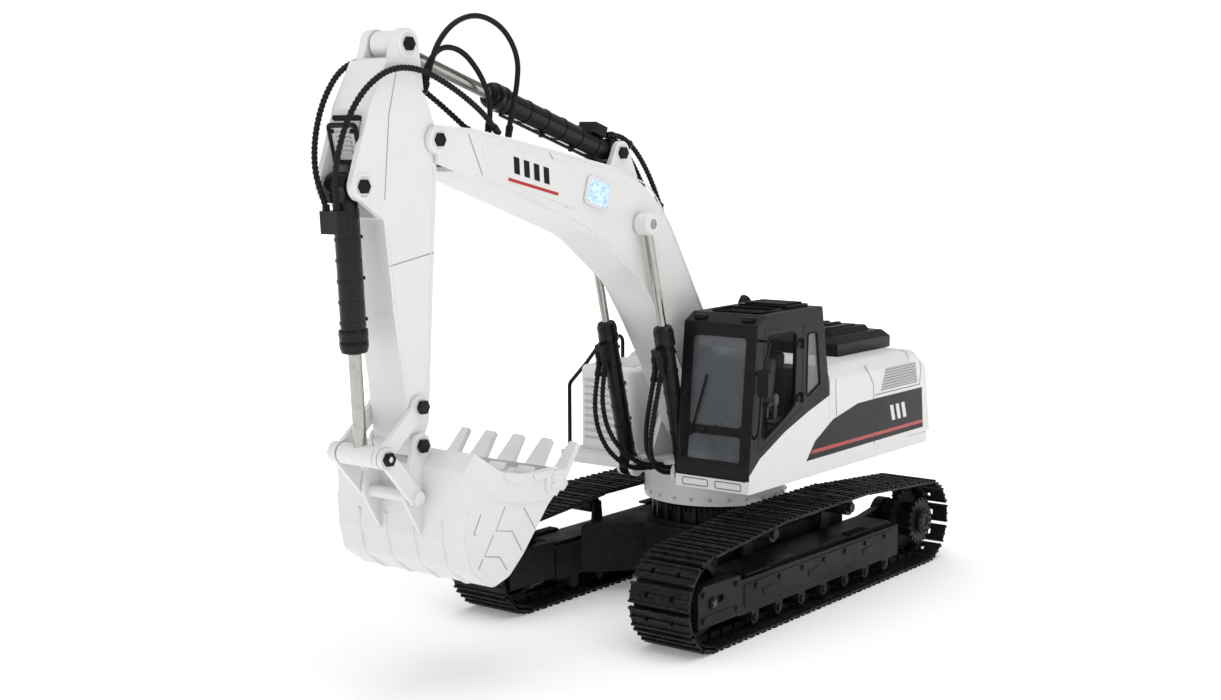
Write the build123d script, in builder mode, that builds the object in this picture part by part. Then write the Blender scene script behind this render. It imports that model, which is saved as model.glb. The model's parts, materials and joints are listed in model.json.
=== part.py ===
"""Toy excavator: tracked undercarriage, slewing house, boom, stick and bucket, as separate working pieces.

Millimetres. +X runs forward to the bucket, +Y to the left (the cab side), +Z up. Z = 0 is the ground.
Side profiles are drawn as (forward of the slew axis, height above the ground).
"""
from build123d import *
import math
import os

os.makedirs("parts", exist_ok=True)

# ---- driving sizes -------------------------------------------------------------------------------
slew_x = -102.1           # slew axis, so that X = 0 is halfway between the rear and the linkage
running_gap = 0.05        # radial clearance of a shaft that turns in its bore
side_gap = 0.5            # gap between plates that swing past each other
seam = 0.3                # gap between fixed covers

track_gauge = 157.6       # between the centre lines of the two chains
shoe_width = 47.4
axle_span = 297.6         # idler axle to sprocket axle
chain_radius = 33.1       # outer radius of a chain round its end wheels
grouser_height = 1.3
shoe_plate = 1.5
link_height = 4.0
link_offset = 5.5         # from the chain's centre line to the middle of a link rail
link_width = 4.6
shoe_count = 53
shoe_fill = 0.94          # share of the pitch that a shoe takes up
wheel_gap = 0.3           # between the rails and what runs on them

sprocket_radius = 18.4
sprocket_teeth = 20
carrier_x = (59.0, -47.0)
carrier_z = 61.0
carrier_radius = 6.0
roller_count = 7
roller_first_x = 94.0
roller_pitch = 30.4
roller_radius = 3.6
flange_radius = 5.2

frame_half_width = 13.0   # box beam between the chain's rails
frame_outer = 18.2        # side plate's outer face, from the chain's centre line
frame_front_x = 115.0
frame_rear_x = -108.0
frame_bottom_z = 14.5
frame_top_z = 40.0

deck_z = 52.0             # top of the carbody
skirt_radius = 52.9
skirt_bottom_z = 69.5
skirt_wall = 3.0
slab_bottom_z = 94.4
slab_top_z = 102.6
pivot_radius = 18.0       # post that the house turns on

house_half_width = 91.5
house_rear_x = -172.0
cab_front_x = 94.7
cab_rear_x = -11.4
cab_inner_y = 31.4
cab_wall = 2.5
panel_thickness = 3.0
shell_wall = 3.0

boom_half_width = 18.0
boom_wall = 2.5
fork_wall = 2.6
stick_half_width = 14.9
stick_wall = 2.5
pin_radius = 2.6
pin_head_radius = 4.4
pin_head_height = 2.4

boom_foot = (30.0, 126.0)
stick_pin = (314.9, 333.7)
boom_cylinder_base = (74.4, 98.5)
boom_cylinder_eye = (119.5, 276.6)
boom_cylinder_y = 24.6
stick_cylinder_base = (130.1, 324.4)
stick_cylinder_eye = (335.9, 388.1)
bucket_cylinder_top = (373.7, 307.9)
rocker_pivot = (333.3, 178.4)
rocker_end = (365.0, 152.5)
bucket_pivot = (333.7, 155.5)
bucket_link_pin = (341.5, 126.0)

bucket_half_width = 52.4
bucket_wall = 3.0
tooth_count = 5
tooth_spacing = 23.8

# ---- sizes that follow ---------------------------------------------------------------------------
axle_z = chain_radius
half_span = axle_span / 2
track_y = track_gauge / 2
rail_inner_radius = chain_radius - grouser_height - shoe_plate - link_height
pitch_radius = rail_inner_radius + link_height / 2
rail_top_z = axle_z - rail_inner_radius
idler_radius = rail_inner_radius - wheel_gap
roller_z = rail_top_z + wheel_gap + roller_radius
rocker_inner_y = stick_half_width + side_gap
plate_thickness = 3.0
link_inner_y = rocker_inner_y + plate_thickness + side_gap
link_outer_y = link_inner_y + plate_thickness
fork_inner_y = boom_half_width - fork_wall
bore_radius = pin_radius + running_gap


# ---- helpers -------------------------------------------------------------------------------------
def side(y=0.0):
    """A plane across the machine at y: its own x is forward of the slew axis and its y is height."""
    return Plane(origin=(slew_x, y, 0), x_dir=(1, 0, 0), z_dir=(0, -1, 0))


def level(z=0.0):
    """A level plane at height z, centred on the slew axis."""
    return Plane(origin=(slew_x, 0, z), x_dir=(1, 0, 0), z_dir=(0, 0, 1))


def across(x=0.0):
    """An upright plane at x forward of the slew axis: its own x is left and its y is height."""
    return Plane(origin=(slew_x + x, 0, 0), x_dir=(0, 1, 0), z_dir=(1, 0, 0))


def write(piece, node):
    """Labels a finished piece and writes it as its own STEP file."""
    piece.part.label = node
    export_step(piece.part, f"parts/{node}.step")


def along(start, end, distance):
    """The point at a distance from start towards end."""
    span = math.dist(start, end)
    share = distance / span
    return (start[0] + (end[0] - start[0]) * share, start[1] + (end[1] - start[1]) * share)


def axis_plane(start, end, y, distance=0.0):
    """A plane square to the line from start to end in the side view, its normal along the line."""
    x, z = along(start, end, distance)
    span = math.dist(start, end)
    forward = ((end[0] - start[0]) / span, 0, (end[1] - start[1]) / span)
    return Plane(origin=(slew_x + x, y, z), x_dir=(0, 1, 0), z_dir=forward)


def pin_with_heads(points, reach, radius=pin_radius, head=pin_head_radius):
    """Cross pins at side-view points, each with a hex head outside +-reach."""
    with BuildPart() as pins:
        for x, z in points:
            with BuildSketch(side(0)):
                with Locations((x, z)):
                    Circle(radius)
            extrude(amount=reach, both=True)
            for y, way in ((reach, 1), (-reach, -1)):
                with BuildSketch(side(y)):
                    with Locations((x, z)):
                        RegularPolygon(head, 6)
                extrude(amount=-way * pin_head_height)
    return pins


def stub_bolts(points, inner, outer, radius=pin_radius, head=pin_head_radius):
    """Short bolts through the two ears at +-inner to +-outer, with nothing between the ears."""
    with BuildPart() as bolts:
        for x, z in points:
            for way in (1, -1):
                with BuildSketch(side(way * inner)):
                    with Locations((x, z)):
                        Circle(radius)
                extrude(amount=-way * (outer - inner))
                with BuildSketch(side(way * outer)):
                    with Locations((x, z)):
                        RegularPolygon(head, 6)
                extrude(amount=-way * pin_head_height)
    return bolts


# ---- chain path ----------------------------------------------------------------------------------
def belt(wheels):
    """Straight runs and arcs of a belt round wheels (x, z, radius) that all turn the same way.

    Returns the pieces as ("run", start, angle, length) or ("arc", centre, radius, angle, turn).
    """
    count = len(wheels)
    angles = []
    for index in range(count):
        x0, z0, r0 = wheels[index]
        x1, z1, r1 = wheels[(index + 1) % count]
        gap = math.dist((x0, z0), (x1, z1))
        angles.append(math.atan2(z1 - z0, x1 - x0) - math.asin((r1 - r0) / gap))
    pieces = []
    for index in range(count):
        x0, z0, r0 = wheels[index]
        x1, z1, r1 = wheels[(index + 1) % count]
        turn = (angles[index] - angles[index - 1]) % (2 * math.pi)
        pieces.append(("arc", (x0, z0), r0, angles[index - 1], turn))
        start = (x0 + r0 * math.sin(angles[index]), z0 - r0 * math.cos(angles[index]))
        end = (x1 + r1 * math.sin(angles[index]), z1 - r1 * math.cos(angles[index]))
        pieces.append(("run", start, angles[index], math.dist(start, end)))
    return pieces


def belt_length(pieces):
    """The belt's length: straight runs, and radius times turn for each arc."""
    return sum(piece[3] if piece[0] == "run" else piece[2] * piece[4] for piece in pieces)


def belt_point(pieces, travel):
    """The point (x, z) and direction after a travel along the belt."""
    for piece in pieces:
        size = piece[3] if piece[0] == "run" else piece[2] * piece[4]
        if travel <= size:
            if piece[0] == "run":
                start, angle = piece[1], piece[2]
                return start[0] + travel * math.cos(angle), start[1] + travel * math.sin(angle), angle
            centre, radius, angle = piece[1], piece[2], piece[3] + travel / piece[2]
            return centre[0] + radius * math.sin(angle), centre[1] - radius * math.cos(angle), angle
        travel -= size
    return belt_point(pieces, 0.0)


carrier_pitch_radius = carrier_radius + wheel_gap + link_height / 2
chain_path = belt([
    (half_span, axle_z, pitch_radius),
    (carrier_x[0], carrier_z, carrier_pitch_radius),
    (carrier_x[1], carrier_z, carrier_pitch_radius),
    (-half_span, axle_z, pitch_radius),
])
shoe_pitch = belt_length(chain_path) / shoe_count
shoe_length = shoe_pitch * shoe_fill

# ---- one track shoe, lying at the origin with its grousers down ----------------------------------
plate_top = -link_height / 2
plate_bottom = plate_top - shoe_plate
grouser_width = 1.6
grouser_spread = shoe_length / 2 - grouser_width / 2
with BuildPart() as shoe:
    with BuildSketch(Plane.XY.offset(plate_bottom)):
        Rectangle(shoe_length, shoe_width)
        with Locations((0, link_offset + link_width), (0, -link_offset - link_width)):
            Rectangle(shoe_length * 0.3, 3.0, mode=Mode.SUBTRACT)
    extrude(amount=shoe_plate)
    with BuildSketch(Plane.XY.offset(plate_bottom - grouser_height)):
        with Locations((-grouser_spread, 0), (0, 0), (grouser_spread, 0)):
            Rectangle(grouser_width, shoe_width)
        with Locations((0, link_offset + link_width), (0, -link_offset - link_width)):
            Rectangle(shoe_length * 0.3, 3.0, mode=Mode.SUBTRACT)
    extrude(amount=grouser_height)
    with BuildSketch(Plane.XY.offset(plate_top)):
        with Locations((0, link_offset), (0, -link_offset)):
            Rectangle(shoe_length * 0.88, link_width)
    extrude(amount=link_height)

for hand, way in (("left", 1), ("right", -1)):
    places = []
    for index in range(shoe_count):
        x, z, angle = belt_point(chain_path, (index + 0.5) * shoe_pitch)
        forward = (math.cos(angle), 0, math.sin(angle))
        upward = (-math.sin(angle), 0, math.cos(angle))
        places.append(Plane(origin=(slew_x + x, way * track_y, z), x_dir=forward, z_dir=upward).location)
    chain = Compound(label=f"track_chain_{hand}", children=[shoe.part.moved(place) for place in places])
    export_step(chain, f"parts/track_chain_{hand}.step")

# ---- wheels that the chain runs round ------------------------------------------------------------
axle_radius = 3.0
idler_hub_radius = 8.0
idler_rim_width = 6.4
for hand, way in (("left", 1), ("right", -1)):
    centre_y = way * track_y
    # idler: a spoked disc between the rails with a rim under each rail
    with BuildPart() as idler:
        with BuildSketch(side(centre_y)):
            with Locations((half_span, axle_z)):
                Circle(idler_radius)
                with PolarLocations(idler_radius * 0.6, 6):
                    Circle(4.2, mode=Mode.SUBTRACT)
        extrude(amount=1.8, both=True)
        with BuildSketch(side(centre_y)):
            with Locations((half_span, axle_z)):
                Circle(idler_radius)
                Circle(idler_radius - 4.0, mode=Mode.SUBTRACT)
        extrude(amount=link_offset + link_width / 2, both=True)
        with BuildSketch(side(centre_y)):
            with Locations((half_span, axle_z)):
                Circle(idler_hub_radius)
        extrude(amount=idler_rim_width + 5.0, both=True)
        with BuildSketch(side(centre_y)):
            with Locations((half_span, axle_z)):
                Circle(axle_radius + running_gap)
        extrude(amount=idler_rim_width + 5.0, both=True, mode=Mode.SUBTRACT)
    write(idler, f"idler_{hand}")

    # sprocket: toothed cover disc outside, hub through the chain's middle, bored for its drive shaft
    sprocket_face = 16.5
    disc_thickness = 3.2
    tooth_depth = 2.6
    with BuildPart() as sprocket:
        with BuildSketch(side(centre_y + way * sprocket_face)):
            with Locations((-half_span, axle_z)):
                Circle(sprocket_radius)
                with PolarLocations(sprocket_radius, sprocket_teeth):
                    Rectangle(2 * tooth_depth, 2.6, mode=Mode.SUBTRACT)
        extrude(amount=way * disc_thickness)
        with BuildSketch(side(centre_y + way * (sprocket_face - disc_thickness))):
            with Locations((-half_span, axle_z)):
                Circle(sprocket_radius - 5.0)
        extrude(amount=way * 2 * (sprocket_face - disc_thickness))
        with BuildSketch(side(centre_y)):
            with Locations((-half_span, axle_z)):
                Circle(idler_radius - 2.0)
                with PolarLocations(idler_radius - 2.0, sprocket_teeth):
                    Rectangle(2 * tooth_depth, 3.4, mode=Mode.SUBTRACT)
        extrude(amount=link_offset - link_width / 2 - side_gap, both=True)
        with BuildSketch(side(centre_y)):
            with Locations((-half_span, axle_z)):
                Circle(axle_radius + running_gap)
        extrude(amount=sprocket_face, both=True, mode=Mode.SUBTRACT)
    write(sprocket, f"sprocket_{hand}")

    for number, x in enumerate(carrier_x, start=1):
        with BuildPart() as carrier:
            with BuildSketch(side(centre_y)):
                with Locations((x, carrier_z)):
                    Circle(carrier_radius)
            extrude(amount=link_offset + link_width, both=True)
            with BuildSketch(side(centre_y)):
                with Locations((x, carrier_z)):
                    Circle(2.0 + running_gap)
            extrude(amount=link_offset + link_width, both=True, mode=Mode.SUBTRACT)
        write(carrier, f"carrier_roller_{hand}_{number}")

    flange_inner = link_offset + link_width / 2 + 0.4
    flange_width = 2.0
    for number in range(roller_count):
        x = roller_first_x - number * roller_pitch
        with BuildPart() as roller:
            with BuildSketch(side(centre_y)):
                with Locations((x, roller_z)):
                    Circle(roller_radius)
            extrude(amount=flange_inner + flange_width, both=True)
            for reach in (1, -1):
                with BuildSketch(side(centre_y + reach * flange_inner)):
                    with Locations((x, roller_z)):
                        Circle(flange_radius)
                extrude(amount=-reach * flange_width)
            with BuildSketch(side(centre_y)):
                with Locations((x, roller_z)):
                    Circle(1.6 + running_gap)
            extrude(amount=flange_inner + flange_width, both=True, mode=Mode.SUBTRACT)
        write(roller, f"bottom_roller_{hand}_{number + 1}")

# ---- track frames, with the axles that the rollers turn on ---------------------------------------
hanger_gap = 0.6
roller_xs = [roller_first_x - number * roller_pitch for number in range(roller_count)]
roller_side = flange_inner + flange_width + hanger_gap
for hand, way in (("left", 1), ("right", -1)):
    centre_y = way * track_y
    with BuildPart() as frame:
        # box beam above the bottom rollers
        beam_z = roller_z + flange_radius + 2.0
        with BuildSketch(side(centre_y)):
            with BuildLine():
                Polyline(
                    (frame_rear_x, beam_z),
                    (frame_front_x, beam_z),
                    (frame_front_x, frame_top_z - 2),
                    (frame_front_x - 8, frame_top_z + 2),
                    (frame_rear_x + 8, frame_top_z + 2),
                    (frame_rear_x, frame_top_z - 2),
                    close=True,
                )
            make_face()
        extrude(amount=frame_half_width, both=True)
        # outer and inner side plates, with a hanger lobe at each bottom roller
        for reach in (1, -1):
            plate_y = centre_y + reach * roller_side
            with BuildSketch(side(plate_y)):
                with BuildLine():
                    Polyline(
                        (frame_rear_x, frame_bottom_z),
                        (frame_front_x, frame_bottom_z + 1.3),
                        (frame_front_x, frame_top_z),
                        (frame_rear_x, frame_top_z - 2),
                        close=True,
                    )
                make_face()
                for x in roller_xs:
                    with Locations((x, roller_z + 2.2)):
                        Rectangle(9.0, 8.4)
                    with Locations((x, roller_z)):
                        Circle(4.5)
            extrude(amount=-reach * (frame_outer - roller_side))
        # roller axles, with their bolt heads outside
        for x in roller_xs:
            with BuildSketch(side(centre_y)):
                with Locations((x, roller_z)):
                    Circle(1.6)
            extrude(amount=frame_outer, both=True)
            with BuildSketch(side(centre_y + way * frame_outer)):
                with Locations((x, roller_z)):
                    RegularPolygon(2.6, 6)
            extrude(amount=-way * 1.2)
        # carrier roller stands: a post and an axle from the inboard side
        for x in carrier_x:
            stand_y = link_offset + link_width + 0.6
            with BuildSketch(side(centre_y - way * stand_y)):
                with BuildLine():
                    Polyline(
                        (x - 7, frame_top_z),
                        (x + 7, frame_top_z),
                        (x + 4, carrier_z + 3),
                        (x - 4, carrier_z + 3),
                        close=True,
                    )
                make_face()
            extrude(amount=way * 2.2)
            with BuildSketch(side(centre_y - way * stand_y)):
                with Locations((x, carrier_z)):
                    Circle(2.0)
            extrude(amount=-way * 2 * stand_y)
            with BuildSketch(side(centre_y + way * stand_y)):
                with Locations((x, carrier_z)):
                    Circle(3.6)
            extrude(amount=-way * 2.0)
        # drive housing inboard of the sprocket, and the shaft that the sprocket turns on
        with BuildSketch(side(centre_y - way * (sprocket_face - disc_thickness + side_gap))):
            with Locations((-half_span, axle_z)):
                Circle(15.0)
        extrude(amount=way * 8.0)
        with BuildSketch(side(centre_y - way * (sprocket_face - disc_thickness + side_gap))):
            with BuildLine():
                Polyline(
                    (-half_span, axle_z - 11),
                    (frame_rear_x + 4, frame_bottom_z + 6),
                    (frame_rear_x + 4, frame_top_z - 2),
                    (-half_span, axle_z + 11),
                    close=True,
                )
            make_face()
        extrude(amount=way * 6.0)
        with BuildSketch(side(centre_y - way * (sprocket_face - disc_thickness + side_gap))):
            with Locations((-half_span, axle_z)):
                Circle(axle_radius)
        extrude(amount=-way * 2 * (sprocket_face - disc_thickness))
    write(frame, f"track_frame_{hand}")

    # idler yoke: a plate each side of the wheel on a slide block, and the idler's axle
    yoke_inner = idler_rim_width + 5.0 + side_gap
    yoke_outer = 20.9
    yoke_rear_x = 116.5
    yoke_front_x = 166.0
    yoke_block_x = 121.0
    with BuildPart() as yoke:
        for reach, outer in ((way, yoke_outer), (-way, yoke_outer - 3)):
            with BuildSketch(side(centre_y + reach * yoke_inner)):
                with BuildLine():
                    Polyline(
                        (yoke_rear_x, 18.0),
                        (yoke_front_x, 18.5),
                        (yoke_front_x, 42.0),
                        (yoke_front_x - 6, 46.0),
                        (yoke_rear_x, 45.0),
                        close=True,
                    )
                make_face()
            extrude(amount=-reach * (outer - yoke_inner))
        with BuildSketch(side(centre_y)):
            with Locations((half_span, axle_z)):
                Circle(axle_radius)
        extrude(amount=yoke_inner + 1.0, both=True)
        # slide block back to the track frame
        with BuildSketch(side(centre_y)):
            with BuildLine():
                Polyline(
                    (frame_front_x, 22.0),
                    (yoke_block_x, 22.0),
                    (yoke_block_x, 38.0),
                    (frame_front_x, 38.0),
                    close=True,
                )
            make_face()
        extrude(amount=frame_half_width, both=True)
        # slot beside the bolt, then the bolt's head
        with BuildSketch(side(centre_y + way * yoke_outer)):
            with Locations((half_span - 6, axle_z + 1.5)):
                SlotOverall(13.0, 5.0)
        extrude(amount=way * 2.5, mode=Mode.SUBTRACT)
        with BuildSketch(side(centre_y + way * (yoke_outer - 2.5))):
            with Locations((half_span + 0.5, axle_z)):
                Circle(4.2)
        extrude(amount=-way * 3.7)
    write(yoke, f"idler_yoke_{hand}")

# ---- carbody: the centre body with four legs out to the track frames -----------------------------
body_half_x = 54.0
leg_half_x = 86.0
leg_bottom_z = 16.0
frame_inner_y = track_y - frame_outer
with BuildPart() as carbody:
    with BuildSketch(level(leg_bottom_z)):
        with BuildLine():
            Polyline(
                (leg_half_x, -frame_inner_y),
                (body_half_x, -28),
                (body_half_x, 28),
                (leg_half_x, frame_inner_y),
                (-leg_half_x, frame_inner_y),
                (-body_half_x, 28),
                (-body_half_x, -28),
                (-leg_half_x, -frame_inner_y),
                close=True,
            )
        make_face()
    extrude(amount=deck_z - leg_bottom_z)
    with BuildSketch(level(leg_bottom_z)):
        Rectangle(2 * body_half_x - 12, 2 * frame_inner_y - 14)
    extrude(amount=deck_z - leg_bottom_z - 5.0, mode=Mode.SUBTRACT)
    top_edges = carbody.faces().sort_by(Axis.Z)[-1].edges()
    chamfer(top_edges, length=1.5)
write(carbody, "carbody")

# ---- slew ring on the carbody, with the post that the house turns on -----------------------------
ring_radius = 46.0
ring_top_z = skirt_bottom_z - side_gap
rib_count = 24
with BuildPart() as slew_ring:
    with BuildSketch(level(deck_z)):
        Circle(skirt_radius - 2)
        Circle(ring_radius - 8, mode=Mode.SUBTRACT)
    extrude(amount=3.0)
    with BuildSketch(level(deck_z)):
        Circle(ring_radius - 2)
        Circle(ring_radius - 8, mode=Mode.SUBTRACT)
    extrude(amount=ring_top_z - deck_z)
    with BuildSketch(level(deck_z + 3)):
        with PolarLocations(ring_radius - 1, rib_count):
            Rectangle(5.0, 3.0)
    extrude(amount=ring_top_z - deck_z - 5)
    with BuildSketch(level(deck_z)):
        Circle(ring_radius - 4)
    extrude(amount=4.0)
    with BuildSketch(level(deck_z)):
        Circle(pivot_radius)
    extrude(amount=slab_top_z - deck_z - 2)
write(slew_ring, "slew_ring")

# ---- house: floor slab, boom foot brackets and cylinder brackets ---------------------------------
bracket_inner_y = boom_half_width + side_gap
bracket_outer_y = bracket_inner_y + 4.0
eye_half_width = 3.9
eye_radius = 7.0
cheek_gap = 0.4
well_half_y = cab_inner_y - 0.4
well_x = 58.0
slab_rear_x = house_rear_x + 8
with BuildPart() as platform:
    with BuildSketch(level(slab_bottom_z)):
        with BuildLine():
            Polyline(
                (cab_front_x, house_half_width),
                (slab_rear_x, house_half_width),
                (slab_rear_x, -house_half_width),
                (cab_front_x - 24, -house_half_width),
                (cab_front_x - 24, -well_half_y),
                (well_x, -well_half_y),
                (well_x, well_half_y),
                (cab_front_x, well_half_y),
                close=True,
            )
        make_face()
        Circle(pivot_radius + running_gap, mode=Mode.SUBTRACT)
    extrude(amount=slab_top_z - slab_bottom_z)
    # brackets each side of the boom's foot
    for way in (1, -1):
        with BuildSketch(side(way * bracket_inner_y)):
            with BuildLine():
                Polyline(
                    (boom_foot[0] - 34, slab_top_z),
                    (boom_foot[0] + 26, slab_top_z),
                    (boom_foot[0] + 11, boom_foot[1] + 6),
                    (boom_foot[0] - 11, boom_foot[1] + 6),
                    close=True,
                )
            make_face()
            with Locations(boom_foot):
                Circle(12.5)
                Circle(bore_radius + 1.4, mode=Mode.SUBTRACT)
        extrude(amount=-way * (bracket_outer_y - bracket_inner_y))
    # cheeks each side of both boom cylinder eyes
    inner_cheek = boom_cylinder_y - eye_half_width - cheek_gap
    outer_cheek = boom_cylinder_y + eye_half_width + cheek_gap
    for way in (1, -1):
        for near, far in ((inner_cheek - 3.4, inner_cheek), (outer_cheek, outer_cheek + 2.0)):
            with BuildSketch(side(way * near)):
                with BuildLine():
                    Polyline(
                        (well_x - 1, slab_bottom_z),
                        boom_cylinder_base,
                        (well_x - 1, slab_top_z + 3),
                        close=True,
                    )
                make_face()
                with Locations((well_x + 5, boom_cylinder_base[1])):
                    Rectangle(14, 10)
                with Locations(boom_cylinder_base):
                    Circle(eye_radius)
                    Circle(bore_radius, mode=Mode.SUBTRACT)
            extrude(amount=-way * (far - near))
write(platform, "platform")

with BuildPart() as turret_skirt:
    with BuildSketch(level(skirt_bottom_z)):
        Circle(skirt_radius)
        Circle(skirt_radius - skirt_wall, mode=Mode.SUBTRACT)
    extrude(amount=slab_bottom_z - skirt_bottom_z)
write(turret_skirt, "turret_skirt")

# pins that the house holds: the boom's foot pin, and a plain pin for each boom cylinder
foot_pin = pin_with_heads([boom_foot], bracket_outer_y, radius=pin_radius + 1.4, head=6.0)
with BuildPart() as house_pins:
    add(foot_pin.part)
    for way in (1, -1):
        with BuildSketch(side(way * (inner_cheek - 3.4))):
            with Locations(boom_cylinder_base):
                Circle(pin_radius)
        extrude(amount=-way * (outer_cheek + 2.0 - inner_cheek + 3.4))
write(house_pins, "house_pins")

# ---- house covers --------------------------------------------------------------------------------
cover_front_x = cab_rear_x - seam
weight_front_x = -132.0
cover_top_z = 170.0
shoulder_radius = 11.0
hood_half_y = 66.0
hood_front_x = -66.0
hood_rear_x = -148.0
hood_top_z = 188.0
bay_half_y = cab_inner_y - shell_wall
bay_rear_x = -52.0

# rear body: side walls and roof behind the cab, open below, with a bay in front for the boom
with BuildPart() as body_shell:
    with BuildSketch(across(weight_front_x)) as section:
        with Locations((0, (slab_top_z + cover_top_z) / 2)):
            Rectangle(2 * house_half_width, cover_top_z - slab_top_z)
        fillet(section.vertices().group_by(Axis.Y)[-1], radius=shoulder_radius)
    extrude(amount=cover_front_x - weight_front_x)
    with BuildSketch(across(weight_front_x - 1)) as hollow:
        with Locations((0, (slab_top_z + cover_top_z - shell_wall) / 2)):
            Rectangle(2 * (house_half_width - shell_wall), cover_top_z - shell_wall - slab_top_z)
        fillet(hollow.vertices().group_by(Axis.Y)[-1], radius=shoulder_radius - shell_wall)
    extrude(amount=cover_front_x - weight_front_x - shell_wall + 1, mode=Mode.SUBTRACT)
    with BuildSketch(level(slab_top_z)):
        with Locations(((cover_front_x + bay_rear_x) / 2, 0)):
            Rectangle(cover_front_x - bay_rear_x, 2 * bay_half_y)
    extrude(amount=cover_top_z, mode=Mode.SUBTRACT)

# counterweight: a solid block across the rear, rounded on plan and leaning in at the top
weight_bottom_z = slab_bottom_z
with BuildPart() as counterweight:
    with BuildSketch(side(0)) as weight_side:
        with BuildLine():
            Polyline(
                (weight_front_x - seam, slab_top_z + seam),
                (weight_front_x - seam, cover_top_z),
                (-142.0, cover_top_z),
                (-164.0, 155.0),
                (-167.0, 138.0),
                (house_rear_x, 106.0),
                (house_rear_x, slab_top_z + seam),
                close=True,
            )
        make_face()
        fillet(weight_side.vertices().sort_by(Axis.X)[3:5], radius=7.0)
    extrude(amount=house_half_width, both=True)
    upright = counterweight.edges().filter_by(lambda edge: edge.bounding_box().size.Y < 1.0)
    shoulders = upright.filter_by(lambda edge: edge.center().Z > 120 and edge.center().X < slew_x - 133)
    fillet(shoulders, radius=5.0)
write(counterweight, "counterweight")

# engine hood: a low box with chamfered edges and a raised step
with BuildPart() as engine_hood:
    with BuildSketch(level(cover_top_z)):
        with Locations(((hood_front_x + hood_rear_x) / 2, 0)):
            Rectangle(hood_front_x - hood_rear_x, 2 * hood_half_y)
    extrude(amount=hood_top_z - 4 - cover_top_z)
    chamfer(engine_hood.faces().sort_by(Axis.Z)[-1].edges(), length=5.0)
    with BuildSketch(level(hood_top_z - 4)):
        with Locations(((hood_front_x + hood_rear_x) / 2, 0)):
            Rectangle(hood_front_x - hood_rear_x - 24, 2 * hood_half_y - 24)
    extrude(amount=4.0, taper=30)
    with BuildSketch(level(cover_top_z)):
        with Locations(((hood_front_x + hood_rear_x) / 2, 0)):
            Rectangle(hood_front_x - hood_rear_x - 6, 2 * hood_half_y - 6)
    extrude(amount=hood_top_z - 7 - cover_top_z, mode=Mode.SUBTRACT)

# exhaust stack, just ahead of the hood
exhaust_x = -58.0
exhaust_y = -14.0
with BuildPart() as exhaust:
    with BuildSketch(level(cover_top_z)):
        with Locations((exhaust_x, exhaust_y)):
            Circle(5.0)
    extrude(amount=3.0)
    with BuildSketch(level(cover_top_z)):
        with Locations((exhaust_x, exhaust_y)):
            Circle(3.8)
    extrude(amount=34.0)
    with BuildSketch(level(cover_top_z + 10)):
        with Locations((exhaust_x, exhaust_y)):
            Circle(2.8)
    extrude(amount=30.0, mode=Mode.SUBTRACT)
with BuildPart() as hood_group:
    add(engine_hood.part)
    add(exhaust.part)
write(hood_group, "engine_hood")

# ---- cab -----------------------------------------------------------------------------------------
cab_outline = [
    (cab_front_x, slab_top_z),
    (cab_front_x - 0.3, 112.0),
    (84.6, 208.6),
    (73.5, 214.5),
    (0.0, 215.5),
    (cab_rear_x, 150.5),
    (cab_rear_x, slab_top_z),
]
side_panel_outline = [
    (cab_front_x - 0.6, slab_top_z),
    (cab_front_x - 0.6, 107.0),
    (80.8, 117.3),
    (48.9, 131.5),
    (18.4, 141.6),
    (cab_rear_x, 149.8),
    (cab_rear_x, slab_top_z),
]
door_window = [(70.7, 200.0), (34.9, 200.0), (36.3, 149.0), (50.0, 141.0), (79.0, 128.0)]
rear_side_window = [(19.5, 197.5), (7.2, 197.5), (2.0, 160.0), (20.6, 152.0)]
right_window = [(72.0, 200.0), (8.0, 200.0), (2.0, 160.0), (2.0, 140.0), (84.0, 126.0)]
glass_gap = 0.1
glass_thickness = 1.2
cab_mid_y = (cab_inner_y + house_half_width) / 2
cab_width = house_half_width - cab_inner_y
pane_half = cab_width / 2 - 8.4


def front_plane(low, high, inset=0.0):
    """A plane on the cab's front between two outline points: own x is left, y runs up the slope."""
    span = math.dist(low, high)
    up = ((high[0] - low[0]) / span, 0, (high[1] - low[1]) / span)
    normal = (up[2], 0, -up[0])
    origin = (slew_x + low[0] - normal[0] * inset, cab_mid_y, low[1] - normal[2] * inset)
    return Plane(origin=origin, x_dir=(0, 1, 0), z_dir=normal)


windscreen_low = (26.6, 88.0)
lower_light = (3.0, 20.5)


def outline_face(points, radius=0.0):
    """Fills a closed outline in the sketch around it, with its corners rounded."""
    with BuildSketch() as shape:
        with BuildLine():
            Polyline(*points, close=True)
        make_face()
        if radius > 0:
            fillet(shape.vertices(), radius=radius)
    return shape.sketch


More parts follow.
